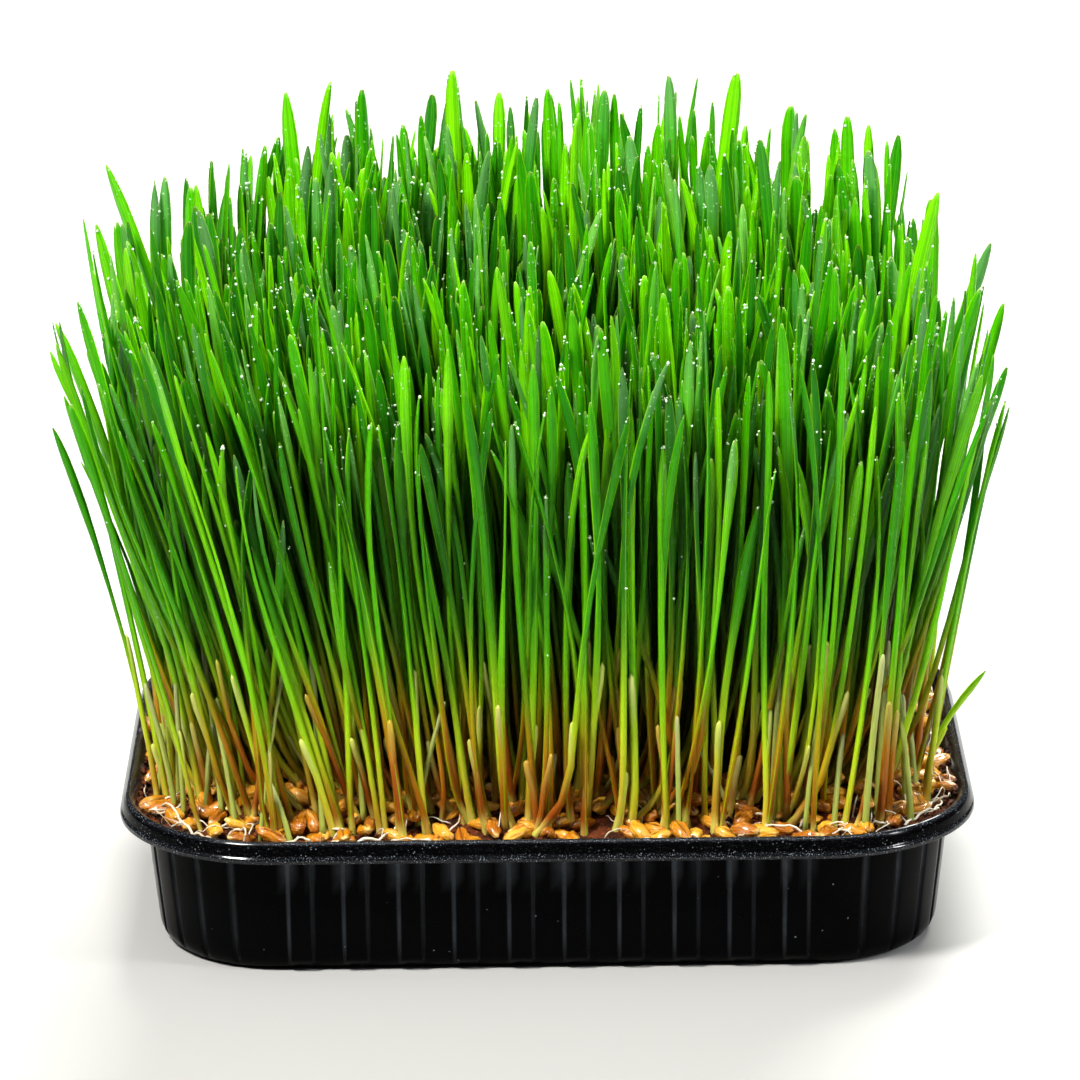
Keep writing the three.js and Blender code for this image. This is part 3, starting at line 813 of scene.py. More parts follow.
def blade_strands(number, path, base, top, width):
    """All the shoots' blades. The stem swells a little at its foot. The half width grows smoothly from the
    stem's to the blade's above half of the height or so, and rounds off to the tip over its own reach, as a
    power of one less the square of the share of that reach that is left."""
    shares = BLADE_STATIONS[None]
    tall = (top - base)[:, None]
    stem = drawn(*STEM_RADIUS, number, 41)[:, None] * lerp(1.1, 0.9, shares)
    stem = stem * (1 + 0.45 * np.exp(-shares * tall / 3.4))
    opening = drawn(0.4, 0.62, number, 42)[:, None]
    opened = smooth(shares, opening, opening + 0.32)
    to_tip = (1 - shares) * tall
    cap = np.sqrt(np.maximum(1 - (1 - np.minimum(to_tip / 1.5, 1)) ** 2, 0.0))
    reach = drawn(8.0, 19.0, number, 46, 1.3)[:, None]
    left = np.maximum(1 - (1 - np.minimum(to_tip / reach, 1)) ** 2, 0.0)
    taper = left ** drawn(0.48, 0.74, number, 49)[:, None]
    half = lerp(stem, width[:, None] / 2, opened) * taper
    cup = drawn(0.25, 0.95, number, 43)[:, None] * lerp(1.3, 0.75, shares)
    section = blade_sections(half, stem * taper, opened, lerp(0.55, 0.34, shares) * cap, cup)
    twist = np.where(number < PART_SHOOTS, BLADE_TWIST, 2.2 * signed(number, 44))
    facing = draw(number, 4)[:, None] * math.pi + twist[:, None] * np.maximum(shares - SHOOT_BEND, 0)
    facing = facing + np.where(draw(number, 45) > 0.5, math.pi, 0.0)[:, None]
    facing = np.where((number < LONE_FROM)[:, None], facing, 0.6 * signed(number, 56)[:, None])
    rings = carried(path, raised(heading(facing), 0.0), section)
    return rings, path[:, -1] + unit(path[:, -1] - path[:, -2]) * 0.3


def sheath_strands(number, path, tall):
    """The pale skins round the stems' feet: round sleeves along the lowest part of each blade's line, which
    narrow at the top and end in a point that stands a little away from the stem."""
    reach = drawn(16.0, 44.0, number, 50)
    at = np.clip(reach / tall, 0.02, 0.6)[:, None] * SHEATH_STATIONS[None]
    line = np.array([
        together(*(np.interp(spots, BLADE_STATIONS, axis) for axis in one.T))
        for spots, one in zip(at, path)
    ])
    turn = draw(number, 51) * TURN
    away = drawn(0.4, 1.5, number, 52)[:, None] * smooth(SHEATH_STATIONS, 0.6, 1.0)[None]
    line[..., :2] += heading(turn)[:, None] * away[..., None]
    stem = drawn(*STEM_RADIUS, number, 41) + drawn(0.06, 0.16, number, 53)
    rings = carried(line, level_line(turn), round_section(stem[:, None] * SHEATH_SIZES[None]))
    return rings[:, :-1], line[:, -1], reach


def build_shoots(grass, sheath):
    """Forty tufts, each with its own shoots of the part and the added ones that stand nearest to it. Three
    shoots in ten, and six in ten near the edge, still show the sheath round their foot."""
    number = np.arange(ALL_SHOOTS)
    place = shoot_places(ALL_SHOOTS)
    centres = tuft_centres(place[:PART_SHOOTS])
    owner = nearest(centres, place)
    own = number < PART_SHOOTS
    strayed = together(signed(number, 47), signed(number, 48)) * 3.0
    inward = drawn(0.8, 0.97, number, 30, 0.8)[:, None]
    foot = np.where(own[:, None], lerp(crown_places(centres)[owner], place, 0.72), place * inward + strayed)
    over = np.abs(foot) - np.array([STAND_LENGTH, STAND_WIDTH]) / 2 + 2.5
    foot = foot - np.sign(foot) * np.maximum(over, 0)
    top = tip_heights(number, place)
    base = np.where(own, CROWN_TOP, bed_height(foot[:, 0], foot[:, 1])) - SHOOT_ROOTED
    path = shoot_lines(number, foot, place, base, top, BLADE_STATIONS)
    width = drawn(1.6, 3.3, number, 40, 1.3) * np.where(top < 100, 0.85, 1.0)
    width = width * lerp(0.84, 1.2, smooth(place[:, 1], -60.0, 30.0))
    scattered = number, path, base, top, width
    number, path, base, top, width = (np.concatenate(pair) for pair in zip(scattered, lone_shoots()))
    owner = np.concatenate([owner, nearest(centres, LONE_SHOOTS[:, :2])])
    blades, tips = blade_strands(number, path, base, top, width)
    sheaths, sheath_tips, reach = sheath_strands(number, path, top - base)
    near_edge = outline_inset(*path[:, 0, :2].T, *STAND) < 16.0
    sheathed = draw(number, 54) < np.where(near_edge, 0.6, 0.3)
    tone, warm = draw(number, 60), draw(number, 61)
    for tuft in range(TUFT_COUNT):
        parts = [
            strands_with_notes(*(values[kept] for values in kind), BLADE_ACROSS, fade)
            for kept, kind, fade in (
                (owner == tuft, (blades, tips, tone, warm, top, base), 20.0),
                ((owner == tuft) & sheathed, (sheaths, sheath_tips, tone, warm, base + reach, base), 12.0),
            )
        ]
        piece = joined(f"tuft_{tuft + 1:02d}", parts, [grass, sheath])
        settle(piece, "grass_blade", f"shoots_{tuft + 1:02d}")
    return blades


def strands_with_notes(rings, tips, tone, warm, top, base, across, fade):
    """Points, faces, notes and chart of strands. The notes are tone, warmth and the distance from the tip
    in fades, and the chart is the share across and the height above the bed."""
    count, stations, sides = rings.shape[:3]
    points = with_poles(rings, None, tips)
    strand = strand_of_point(count, stations, sides)
    notes = together(tone[strand], warm[strand], np.clip((top[strand] - points[:, 2]) / fade, 0.0, 1.0))
    chart_x = np.concatenate([np.tile(across, count * stations), np.full(2 * count, 0.5)])
    chart = together(chart_x, (points[:, 2] - base[strand] - SHOOT_ROOTED) / 120.0)
    return points, *strand_faces(count, stations, sides), notes, chart


def joined(name, parts, materials):
    """One mesh from several parts, each with the material of its own number."""
    shifts = np.cumsum([0] + [len(part[0]) for part in parts])
    quads, tris = ([part[kind] + shift for part, shift in zip(parts, shifts)] for kind in (1, 2))
    chosen = [np.full(len(faces), number) for group in (quads, tris) for number, faces in enumerate(group)]
    points, shoot, chart = (np.concatenate([part[kind] for part in parts]) for kind in (0, 3, 4))
    # inside: how much painted shade each point takes, deep in the stand
    notes = {"shoot": shoot, "inside": np.repeat(buried(points)[:, None], 3, 1)}
    faces = np.concatenate(quads), np.concatenate(tris)
    return mesh_of(name, points, *faces, materials, np.concatenate(chosen), notes, chart)


def buried(points):
    """How deep points are inside the stand, from 0 at its sides and top to 1, which is the share of painted
    shade they take. The plan is leaned back, and a smooth step of the distance to the outline is multiplied
    by one of the distance below the tips."""
    x, y, z = points.T
    _, spread = flare(z)
    flat_y = y / (1 + SIDE_FLARE * spread)
    drift = (END_DRIFT - END_DRIFT_FRONT * flat_y) * spread
    flat_x = (x - drift) / (1 + (END_FLARE - END_FLARE_FRONT * flat_y) * spread)
    below = usual_tip(flat_x, flat_y, 0.6) - z
    deep = outline_inset(flat_x, flat_y, *STAND) / lerp(28.0, 13.0, smooth(z, 38.0, 80.0))
    return smooth(deep, 0.05, 1.0) * smooth(below, 1.5, 25.0)


def build_buds(skin):
    """Blunt white shoots that haven't opened, among the others near the edge: round strands that lean a
    little and end in a dome."""
    number = np.arange(BUDS) + BUDS_FROM
    plan = ring_points(plain_marks(BUDS), drawn(7.5, 16.0, number, 90))
    height = drawn(14.0, 44.0, number, 91)
    turn = draw(number, 92) * TURN
    lean = drawn(1.0, 8.0, number, 93)[:, None] * BUD_STATIONS[None] ** 1.4
    foot = bed_height(plan[:, 0], plan[:, 1])
    line = together(
        plan[:, :1] + np.cos(turn)[:, None] * lean,
        plan[:, 1:] + np.sin(turn)[:, None] * lean,
        foot[:, None] - 0.8 + height[:, None] * BUD_STATIONS[None],
    )
    size = drawn(0.5, 0.75, number, 94)[:, None] * BUD_SIZES
    rings = carried(line, level_line(turn), round_section(size))
    tips = line[:, -1] + np.array([0.0, 0.0, 0.15])
    colours = draw(number, 95), draw(number, 96)
    across = np.linspace(0, 1, 6)
    part = strands_with_notes(rings, tips, *colours, foot + height, foot - 2.0, across, 14.0)
    settle(joined("white_buds", [part], [skin]), "grass_blade")


def build_dew(blades, dew):
    """Beads of water on the blades' edges, fold and back, most of them near the tips and three to a wet
    blade: little balls of two rings and two poles, each between two neighbouring sections of its blade."""
    number = np.arange(DEW_BEADS) + DEW_FROM
    shoot = (draw(number // 3, 100) * len(blades)).astype(int)
    station = len(BLADE_STATIONS) - 2 - (draw(number, 101) ** 2.6 * 8).astype(int)
    corner = np.array([0, 2, 1, 3])[(draw(number, 102) * 4).astype(int)]
    low, high = blades[shoot, station, corner], blades[shoot, station + 1, corner]
    centre = lerp(low, high, draw(number, 103)[:, None])
    size = drawn(0.12, 0.4, number, 104, 2.2)
    level = np.array([-0.55, 0.55])[:, None]
    ring = raised(round_section(np.sqrt(1 - level[:, 0] ** 2)), level)
    rings = centre[:, None, None] + size[:, None, None, None] * ring[None]
    reach = size[:, None] * np.array([0.0, 0.0, 1.0])
    add_strands("dew_beads", dew, None, (), rings, centre - reach, centre + reach)


# ---------------------------------------------------------------- tray

TRAY_SECTION = [  # inset, height, and the rounding's length along both sides
    (14.0, 0.0, 0), (10.3, 0.0, 1.5), (8.3, 2.6, 1.7), (7.4, 10.9, 0), (6.6, 18.4, 0), (5.9, 25.8, 0),
    (5.75, 27.3, 0.4), (6.1, 27.75, 0.3), (2.3, 30.85, 0.35), (1.35, 30.5, 0.3), (0.85, 28.0, 0.12),
    (0.0, 28.0, 0.22), (0.0, 28.95, 0.3), (0.55, 29.55, 0.25), (0.85, 31.3, 0.5), (1.6, 32.5, 0.6),
    (2.35, 32.5, 0.4), (7.4, 28.3, 1.2), (9.1, 14.0, 0), (10.6, 1.1, 0.9), (13.5, 1.1, 0),
]
EXTRA_LEVELS = np.concatenate([np.linspace(3.4, 6.0, 3), np.linspace(22.5, 27.2, 10)])
FAR = 1e6


def outline_marks():
    """Marks round the tray, counter-clockwise from its right side's back end, as seven columns: a base point
    on the inner rectangle that holds the corners' centres, a unit direction outward, so that the outline at
    an inset is the base plus (corner - inset) times the direction, the place along a straight side (far away
    at corners), the corner angle (far away on sides), and the side's number of ribs."""
    angles = [middle + GROOVE_HALF_ANGLE * np.linspace(-1.25, 1.25, 11) for middle in GROOVE_ANGLES]
    degrees = np.unique(np.round(np.concatenate([np.linspace(0, 90, 31), *angles]), 3))
    bevel = RIB_FACE / 2 + RIB_BEVEL * np.linspace(-0.15, 1.15, 7)
    rib_marks = np.concatenate([-bevel, bevel, [0.0]])
    marks = []
    for quarter, (turned_x, turned_y) in enumerate([(1, 1), (-1, 1), (-1, -1), (1, -1)]):
        turned = np.radians(quarter * 90 + degrees)
        centre = TRAY_REACH * (turned_x, turned_y)
        marks.append(together(*centre, np.cos(turned), np.sin(turned), FAR, degrees, 1))
        forward = np.array([(-1, 0), (0, -1), (1, 0), (0, 1)][quarter])
        outward = np.array([forward[1], -forward[0]])
        count, half, reach = (RIBS_SHORT, *TRAY_REACH[::-1]) if quarter % 2 else (RIBS_LONG, *TRAY_REACH)
        spots = (np.arange(count) - (count - 1) / 2)[:, None] * RIB_PITCH + rib_marks
        spots = np.unique(np.round(np.concatenate([spots.ravel(), np.linspace(-half, half, 41)]), 3))
        spots = spots[(spots > -half + 0.2) & (spots < half - 0.2)]
        base = outward * reach + spots[:, None] * forward
        marks.append(together(*base.T, *outward, spots, FAR, count))
    return np.concatenate(marks)


def rounded_profile(corners, steps=4):
    """A line through corner points, each given with a rounding length: the corner is replaced by the curve
    whose control points are the corner and the two points that far along its sides."""
    corners = np.array(corners, float)
    points, reach = corners[:, :2], corners[:, 2]
    made = [points[:1]]
    share = np.linspace(0, 1, steps)[:, None]
    for at in range(1, len(points) - 1):
        before, here, after = points[at - 1 : at + 2]
        if reach[at] == 0:
            made.append(here[None])
            continue
        start = here + unit(before - here) * reach[at]
        end = here + unit(after - here) * reach[at]
        made.append(start * (1 - share) ** 2 + here * 2 * share * (1 - share) + end * share**2)
    made.append(points[-1:])
    return np.concatenate(made)


def rib_relief(along, angle, ribs, z):
    """How far the wall stands out, and how light its bevels are painted, as scuff and painted highlight. On
    straight sides the relief is a smooth step over the bevel of the signed distance into the nearest rib's
    round-ended face.
    Round the corners it is less the groove's depth times the square of one less the squared angle from the
    groove's middle. The scuff is one less the square of that distance over the bevel's breadth, which widens
    towards the rib's top, weaker on the rib's other bevel, and at least 0.45 of the groove round the
    corners.
    The lighter bevel and the broader tops are a painted highlight as well as scuff."""
    place = along / RIB_PITCH
    shift = (ribs - 1) / 2
    nearest_rib = np.clip(np.round(place + shift), 0, ribs - 1) - shift
    across = np.abs(place - nearest_rib) * RIB_PITCH
    over_x = across[None] - RIB_FACE / 2 - RIB_BEVEL / 2 + RIB_ROUND
    over_top = z[:, None] - RIB_TOP + RIB_ROUND
    away = np.hypot(np.maximum(over_x, 0), np.maximum(over_top, 0)) - RIB_ROUND
    away = away + np.minimum(np.maximum(over_x, over_top), 0)
    foot = smooth(z, 0.6, 3.2)[:, None]
    rib = (1 - smooth(away, -RIB_BEVEL / 2, RIB_BEVEL / 2)) * (ribs > 1)
    # broader bevels near the top and one bevel lighter than the other: painted highlight of the lamp
    broad = RIB_BEVEL * lerp(0.55, 0.85, smooth(z, 14.0, 26.0))[:, None]
    bevel = (1 - np.clip(np.abs(away) / broad, 0, 1) ** 2) * (ribs > 1) * foot
    bevel = bevel * np.where(place < nearest_rib, 1.0, 0.42)[None]
    groove = np.zeros_like(rib)
    for middle in GROOVE_ANGLES:
        off = np.clip(np.abs(angle - middle) / (GROOVE_HALF_ANGLE * 1.2), 0, 1)
        groove = groove + (1 - off**2) ** 2
    groove = groove * foot * (1 - smooth(z, 26.6, 28.0))[:, None]
    return RIB_RELIEF * rib * foot - GROOVE_DEPTH * groove, np.maximum(bevel, groove * 0.45)


def build_tray(plastic):
    """The tray as one closed skin. Its section runs from under the base, up the wall, out under the hollow
    rim, round the lip and its step, over the crest, down the inner slope and wall and across the floor. The
    wall's part of it has more levels where the ribs end."""
    marks = outline_marks()
    base, out = marks[:, :2], marks[:, 2:4]
    section = rounded_profile(TRAY_SECTION)
    inset, z = section.T
    crest = int(np.flatnonzero(z >= 32.4)[0])
    on_wall = (np.arange(len(z)) < crest) & (z >= 2.6) & (z <= 27.3) & (inset > 5.7) & (inset < 8.5)
    first, last = np.flatnonzero(on_wall)[[0, -1]]
    wall = section[first : last + 1]
    wall = np.concatenate([wall, together(np.interp(EXTRA_LEVELS, wall[:, 1], wall[:, 0]), EXTRA_LEVELS)])
    wall = wall[np.argsort(wall[:, 1])]
    section = np.concatenate([section[:first], wall, section[last + 1 :]])
    inset, z = section.T
    relief, bevel = rib_relief(*marks[:, 4:].T, z)
    outside = (np.arange(len(z)) < first + len(wall))[:, None]
    plan = base[None] + out[None] * (TRAY_CORNER - inset[:, None] + relief * outside)[..., None]
    rings = raised(plan, z[:, None])
    lifted = np.array([0.0, 0.0, 0.5])
    under, hollow, floor = (
        rings[end] * np.array([share, share, 1.0]) for end, share in ((0, 0.5), (0, 0.97), (-1, 0.5))
    )
    rings = np.concatenate([[under + lifted, hollow + lifted], rings, [floor]])[None]
    # the bevel share, which carries both the scuff and the painted highlight
    edge = np.append(np.pad(bevel * outside, ((2, 1), (0, 0))).ravel(), [0.0, 0.0])
    notes = {"edge": together(edge, 0.0, 0.0)}
    add_strands("ribbed_tray", plastic, "tray_plastic", ["tray"], rings, notes=notes)


# ---------------------------------------------------------------- soil and bed

def cavity_inset(z):
    heights, insets = zip(*CAVITY)
    return np.interp(z, heights, insets)


def slope_height(inset):
    """The height of the tray's inner slope at an inset."""
    return SLOPE_FOOT + np.clip(SLOPE_INSET - inset, 0, SLOPE_REACH) * SLOPE_STEEPNESS


def ripple(x, y, wave, seed):
    """Gentle lumps: the mean of five sine waves in directions a golden angle apart."""
    total = np.zeros(np.broadcast(x, y).shape)
    for term in range(5):
        turn = seed + 2.4 * term
        rate = TURN / wave * (1 + 0.37 * term)
        total = total + np.sin((x * math.cos(turn) + y * math.sin(turn)) * rate + 1.7 * seed * (term + 1))
    return total / 5


def plain_marks(steps):
    """Marks round the tray at even angles: base points and outward directions."""
    direction = heading(np.linspace(0, TURN, steps, endpoint=False))
    edge = MARK_REACH * np.sign(direction) * np.abs(direction) ** 0.5 * MARK_STRETCH
    base = np.clip(edge, -TRAY_REACH, TRAY_REACH)
    return base, unit(edge - base)


def ring_points(marks, inset):
    """The marks' points at an inset from the rim's outer edge."""
    base, out = marks
    return base + out * (TRAY_CORNER - inset)[..., None]


def build_soil(coir):
    """The coir block that fills the tray up to the bed: the cavity less a gap, with a sunken, lumpy skin."""
    marks = plain_marks(SOIL_MARKS)
    heights = np.array([1.45, 2.2, 8.0, 16.0, 24.0, SOIL_TOP - 0.5, SOIL_TOP])
    inset = cavity_inset(heights) + GAP + np.array([0.7, 0.1, 0, 0, 0, 0.1, 0.6])
    plan = ring_points(marks, inset[:, None])
    x, y = plan[..., 0], plan[..., 1]
    sunk = 0.5 * np.abs(ripple(x + y * 0.3, heights[:, None] * 3 + y, 9.0, 0.7))
    plan = plan - marks[1] * sunk[..., None]
    rings = raised(plan, heights[:, None])
    shares = np.linspace(0.92, 0.08, 10)
    top = rings[-1][None] * together(shares, shares, 1.0)[:, None]
    top[..., 2] -= 0.45 * np.abs(ripple(top[..., 0], top[..., 1], 14.0, 1.3))
    add_strands("coir_block", coir, "coir_soil", ["soil"], np.concatenate([rings, top])[None])


def bed_height(x, y):
    """The bed's own surface: lumpy, mounded inside the edge, and drawn up where it meets the slope."""
    inset = outline_inset(x, y, *TRAY)
    lump = 0.55 * ripple(x, y, 11.0, 0.4) + 0.4 * ripple(x, y, 4.2, 2.2)
    mound = BED_MOUND * smooth(inset, 6.5, 24.0)
    return BED_TOP - 0.25 + lump + mound + np.clip(10.0 - inset, 0.0, 6.0) * 0.24


def build_mat(coir):
    """The coir that the grains lie in: rings from the tray's wall to the middle, closer together near the
    edge, at the bed's height with fine crumbs on it, over a plain underside."""
    base, out = plain_marks(MAT_MARKS)
    lowest = SOIL_TOP + GAP
    edge = TRAY_CORNER - (cavity_inset(lowest) + GAP)
    shares = 1 - np.linspace(0, 1, MAT_RINGS) ** 1.9
    plan = (base + out * (edge + 1.9))[None] * lerp(0.02, 1.0, shares)[:, None, None]
    x, y = plan[..., 0], plan[..., 1]
    z = bed_height(x, y) + (0.34 * ripple(x, y, 1.9, 5.1) + 0.28 * ripple(x, y, 1.1, 3.3))
    inset = outline_inset(x, y, *TRAY)
    z = np.where(inset < 7.6, lerp(slope_height(inset) + 0.05, z, smooth(inset, 5.0, 7.6)), z)
    under = raised(base + out * edge, lowest)
    side = raised(base + out * (edge + 0.25), SIDE_TOP)
    middle = under * np.array([0.4, 0.4, 1.0])
    rings = np.concatenate([[middle, under, side], raised(plan, z)])[None]
    add_strands("coir_mat", coir, "coir_soil", ["grain_bed"], rings)


def turned_frames(facing, pitch, roll):
    """Turns as rows of three axes: roll about the length, then pitch out of level, then facing about +Z."""
    zero, one = np.zeros_like(facing), np.ones_like(facing)
    cos_z, cos_y, cos_x = np.cos([facing, pitch, roll])
    sin_z, sin_y, sin_x = np.sin([facing, pitch, roll])
    about_z, about_y, about_x = (np.moveaxis(np.array(rows), -1, 0) for rows in (
        [[cos_z, -sin_z, zero], [sin_z, cos_z, zero], [zero, zero, one]],
        [[cos_y, zero, sin_y], [zero, one, zero], [-sin_y, zero, cos_y]],
        [[one, zero, zero], [zero, cos_x, -sin_x], [zero, sin_x, cos_x]],
    ))
    return about_z @ about_y @ about_x


def grain_shape():
    """One plump grain along X. Its radius at a share of the half length is the power 0.62 of one less the
    power 2.2 of that share, drawn in by a crease that runs along its upper side."""
    along = np.array([-0.94, -0.72, -0.38, 0.0, 0.38, 0.72, 0.94])[:, None]
    turn = np.radians(90 + np.array([0, 17, 48, 92, 138, 180, -138, -92, -48, -17]))
    crease = np.exp(-(((turn - math.pi / 2) / 0.26) ** 2))
    size = (1 - np.abs(along) ** 2.2) ** 0.62 * (1 - 0.1 * along)
    radius = size * (1 - 0.36 * crease * (1 - along**2) ** 0.4)
    y = radius * np.cos(turn) * GRAIN_BREADTH / 2
    z = radius * np.sin(turn) * GRAIN_BREADTH / 2 * 0.86
    rings = together(along * GRAIN_LENGTH / 2, y, z)
    poles = np.array([[-GRAIN_LENGTH / 2, 0, 0], [GRAIN_LENGTH / 2, 0, 0]])
    return rings, poles, (along + 1) / 2, crease


def grain_places():
    """The part's grains, then more between them: thick near the edges, where they show, and thin in the
    middle."""
    crowns = crown_places(tuft_centres(shoot_places(PART_SHOOTS)))
    part = scatter(GRAIN_TRIES, STAND_LENGTH - GRAIN_LENGTH, STAND_WIDTH - GRAIN_LENGTH, STAND_CORNER)
    clear = np.linalg.norm(part[:, None] - crowns[None], axis=2).min(1) > GRAIN_FROM_CROWN
    part = part[clear][:PART_GRAINS]
    more = scatter(ALL_GRAINS, STAND_LENGTH + 1.0, STAND_WIDTH + 1.0, STAND_CORNER)
    number = np.arange(len(more)) + GRAINS_FROM
    more = more + together(signed(number, 24), signed(number, 25)) * 1.3
    x, y = more.T
    middle = STAND_LENGTH - EDGE_BAND, STAND_WIDTH - EDGE_BAND, STAND_CORNER - EDGE_BAND_CORNER
    kept = (outline_inset(x, y, *middle) < 0) | (draw(number, 26) < MIDDLE_GRAINS)
    apart = np.linalg.norm(more[:, None] - part[None], axis=2).min(1) > GRAINS_APART
    kept = kept & apart & (ripple(x, y, 19.0, 2.6) >= BARE_BELOW)
    return part, more[kept], number[kept]


def build_grains(bran):
    """The sprouted grains: the part's own, lying as they do there, and the others tipped and heaped a
    little. Each is swollen by two waves round it, slimmed and turned by its own draws."""
    part, more, more_number = grain_places()
    number = np.concatenate([np.arange(len(part)), more_number])
    place = np.concatenate([part, more])
    own = np.arange(len(place)) < len(part)
    scale = 0.92 + 0.16 * draw(number, 20)
    pitch = np.where(own, (draw(number, 21) - 0.5) * GRAIN_TILT, signed(number, 21) * 0.5)
    facing = draw(number, 22) * math.pi + np.where(own, 0, math.pi * (draw(number, 29) > 0.5))
    wobble = signed(number, 28)
    roll = np.where(draw(number, 27) > 0.55, 0.5 * wobble, math.pi + 0.9 * wobble)
    lift = np.where(own, GRAIN_RISE * draw(number, 23), drawn(0.2, 2.2, number, 23, 1.5))
    floor = np.maximum(BED_TOP, bed_height(place[:, 0], place[:, 1]))
    centre = raised(place, floor + lift)
    rings, poles, length_share, crease = grain_shape()
    frames = turned_frames(facing, pitch, roll)
    slim = together(scale, scale * drawn(0.85, 1.1, number, 36), scale * drawn(0.85, 1.05, number, 65))
    levels, sides = rings.shape[:2]
    around, down = np.arange(sides) * TURN / sides, np.arange(levels)[:, None]
    phase = draw(number, 66)[:, None, None] * TURN
    lumps = np.sin(around * 2 + down * 1.3 + phase) * 0.5
    lumps = lumps + np.sin(around * 3 - down * 2.1 + phase * 3) * 0.5
    swell = 1 + 0.24 * lumps[..., None] * np.array([0.2, 1.0, 1.0])
    local = rings[None] * slim[:, None, None] * swell
    body = np.einsum("nij,nkmj->nkmi", frames, local) + centre[:, None, None]
    ends = np.einsum("nij,npj->npi", frames, poles[None] * slim[:, None]) + centre[:, None]
    tone = draw(number, 37)
    notes = together(length_share, crease, tone[:, None, None])
    notes = with_poles(notes, together(0.0, 0.0, tone), together(1.0, 0.0, tone))
    husk = with_poles(local, poles[0] + 0 * centre, poles[1] + 0 * centre)
    husk = husk + number[strand_of_point(*body.shape[:3]), None] * np.array([7.3, 3.1, 5.7])
    notes = {"grain": notes, "husk": husk}
    add_strands("sprouting_grain", bran, "wheat_grain", ["grain_bed"], body, ends[:, 0], ends[:, 1], notes)


def build_crumbs(coir):
    """Loose coir crumbs on the bed's edge and on the tray's slope: lumps of three rings, each stretched,
    turned and dented by its own draws."""
    number = np.arange(CRUMBS) + CRUMBS_FROM
    order = np.argsort(draw(number, 70))
    inset = drawn(4.2, 15.0, number, 71, 1.6)
    plan = ring_points([values[order] for values in plain_marks(CRUMBS)], inset)
    z = np.maximum(bed_height(plan[:, 0], plan[:, 1]), slope_height(inset)) + 0.25
    section = round_section(np.array([0.8, 1.0, 0.6]))
    rings = raised(section, np.array([-0.55, 0.1, 0.7])[:, None])
    corners = CRUMBS, *section.shape[:2], 1
    dents = 0.7 + 0.6 * draw(np.arange(math.prod(corners)), 72).reshape(corners)
    stretch = together(
        drawn(0.35, 1.35, number, 73, 2), drawn(0.3, 0.7, number, 74), drawn(0.25, 0.55, number, 75)
    )
    frames = turned_frames(draw(number, 76) * TURN, signed(number, 77) * 0.6, signed(number, 78))
    body = np.einsum("nij,nkmj->nkmi", frames, rings[None] * dents * stretch[:, None, None])
    add_strands("coir_crumbs", coir, "coir_soil", (), body + raised(plan, z)[:, None, None])


def build_roots(white):
    """White roots that curl over and between the outer grains: thin round strands along a line that turns
    on at its own rate, stays inside the tray, and rises and falls over the grains."""
    number = np.arange(ROOTS) + ROOTS_FROM
    start = ring_points(plain_marks(ROOTS), drawn(5.6, 14.0, number, 80))
    share = np.linspace(0, 1, ROOT_STATIONS)[None]
    step = (drawn(6.0, 19.0, number, 81, 1.3) / (ROOT_STATIONS - 1))[:, None, None]
    turn = draw(number, 82)[:, None] * TURN + signed(number, 83)[:, None] * 2.8 * share**1.2
    plan = start[:, None] + np.cumsum(heading(turn) * step, 1)
    over = np.maximum(np.abs(plan) - TRAY_REACH, 0.0)
    far = np.hypot(over[..., :1], over[..., 1:])
    pull = np.minimum(1.0, (TRAY_CORNER - 5.2) / np.maximum(far, 1e-6))
    plan = np.sign(plan) * (np.minimum(np.abs(plan), TRAY_REACH) + over * pull)
    x, y = plan[..., 0], plan[..., 1]
    arch = drawn(1.0, 3.4, number, 84, 1.5)[:, None]
    z = bed_height(x, y) + 0.2 + arch * np.sin(math.pi * share) ** 0.8 + 0.6 * ripple(x, y, 5.0, 3.9)
    size = drawn(0.15, 0.42, number, 85, 2)[:, None] * (1 - 0.6 * share)
    rings = carried(raised(plan, z), np.array([0.0, 0.0, 1.0]), round_section(size, 5))
    add_strands("white_roots", white, "wheat_grain", (), rings)


# ---------------------------------------------------------------- stage

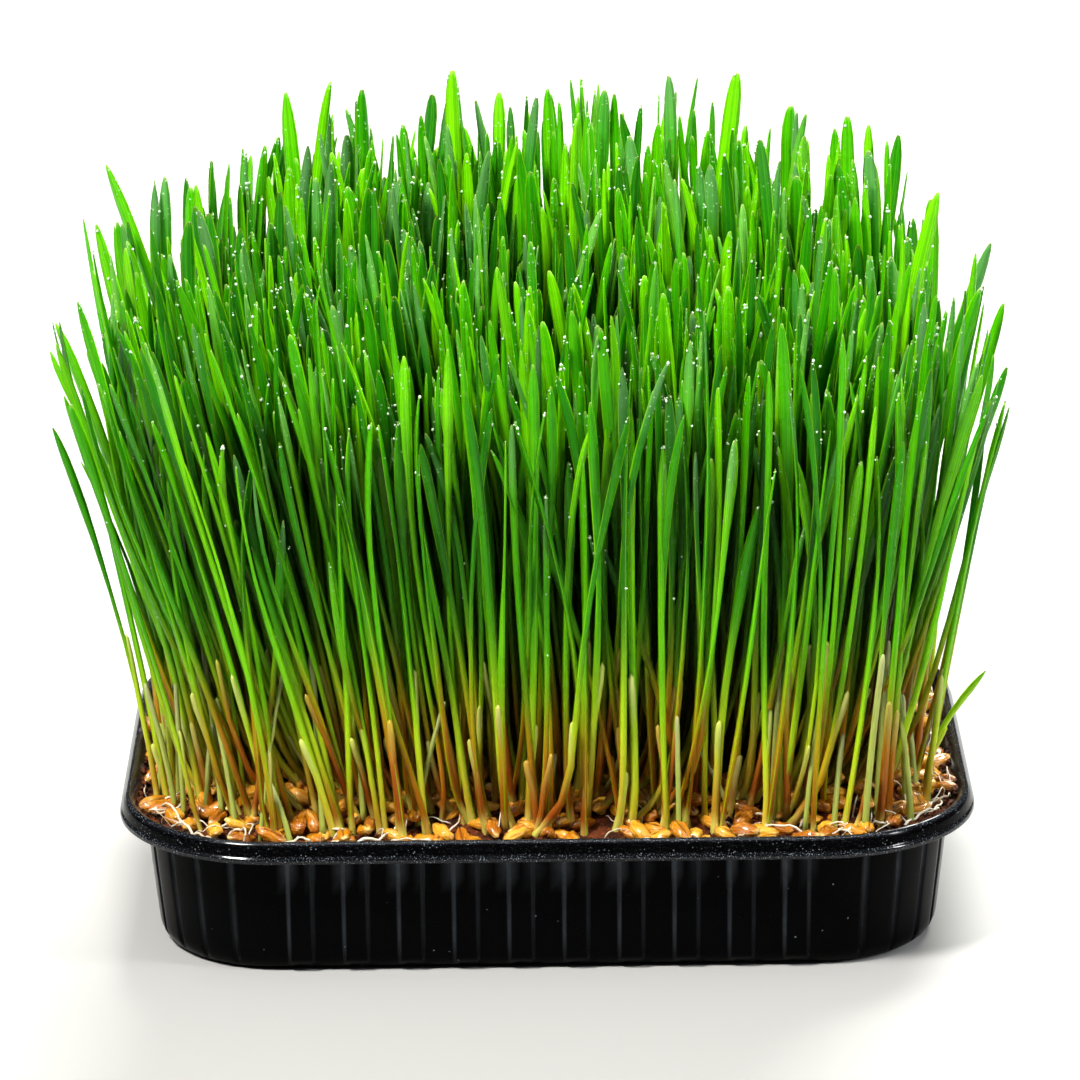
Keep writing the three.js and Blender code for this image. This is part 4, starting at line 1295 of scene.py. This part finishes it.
def build_stage():
    """A pale floor, a soft key high on the left, a small one on the right, a broad light behind that shines
    through the blades, and a faint ceiling over it all."""
    size, steps = 6000.0, 8
    grid = np.linspace(-size / 2, size / 2, steps)
    points = together(*np.meshgrid(grid, grid, indexing="ij"), -0.05).reshape(-1, 3)
    at = (np.arange(steps - 1)[:, None] * steps + np.arange(steps - 1)).ravel()
    quads = together(at, at + steps, at + steps + 1, at + 1)
    floor = mesh_of("floor", points, quads, np.zeros((0, 3), int), [floor_finish()])
    for name, place, aim_height, size, power, colour in (
        ("key", (-0.6, -0.64, 1.28), 0.08, (0.3, 0.3), 50.0, (1.0, 0.98, 0.94)),
        ("side", (0.95, -0.45, 0.7), 0.08, (0.1, 0.26), 10.0, (0.96, 0.98, 1.0)),
        ("back", (0.2, 0.75, 0.95), 0.1, (0.8, 0.4), 48.0, (1.0, 1.0, 0.95)),
    ):
        lamp = bpy.data.lights.new(name, "AREA")
        lamp.shape = "RECTANGLE"
        lamp.size, lamp.size_y = size
        lamp.energy, lamp.color = power, colour
        back = unit(np.array(place) - np.array([0.0, 0.0, aim_height]))
        put(bpy.data.objects.new(name, lamp), unit(np.cross([0.0, 0.0, 1.0], back)), back, place)
    sun = bpy.data.lights.new("ceiling", "SUN")
    sun.energy, sun.angle, sun.color = 1.5, math.radians(50), (1.0, 1.0, 1.0)
    bpy.context.scene.collection.objects.link(bpy.data.objects.new("ceiling", sun))
    world = bpy.data.worlds.new("studio")
    world.use_nodes = True
    sky = world.node_tree.nodes["Background"]
    sky.inputs["Color"].default_value = rgba((0.82, 0.85, 0.9))
    sky.inputs["Strength"].default_value = 0.06
    bpy.context.scene.world = world
    bpy.context.scene.view_settings.view_transform = "Standard"


# ---------------------------------------------------------------- the object

make_camera()
coir = coir_finish()
build_tray(tray_finish())
build_soil(coir)
build_mat(coir)
build_grains(grain_finish())
build_crumbs(coir)
build_roots(root_finish())
blades = build_shoots(blade_finish(), sheath_finish())
build_dew(blades, dew_finish())
build_buds(bud_finish())
build_stage()
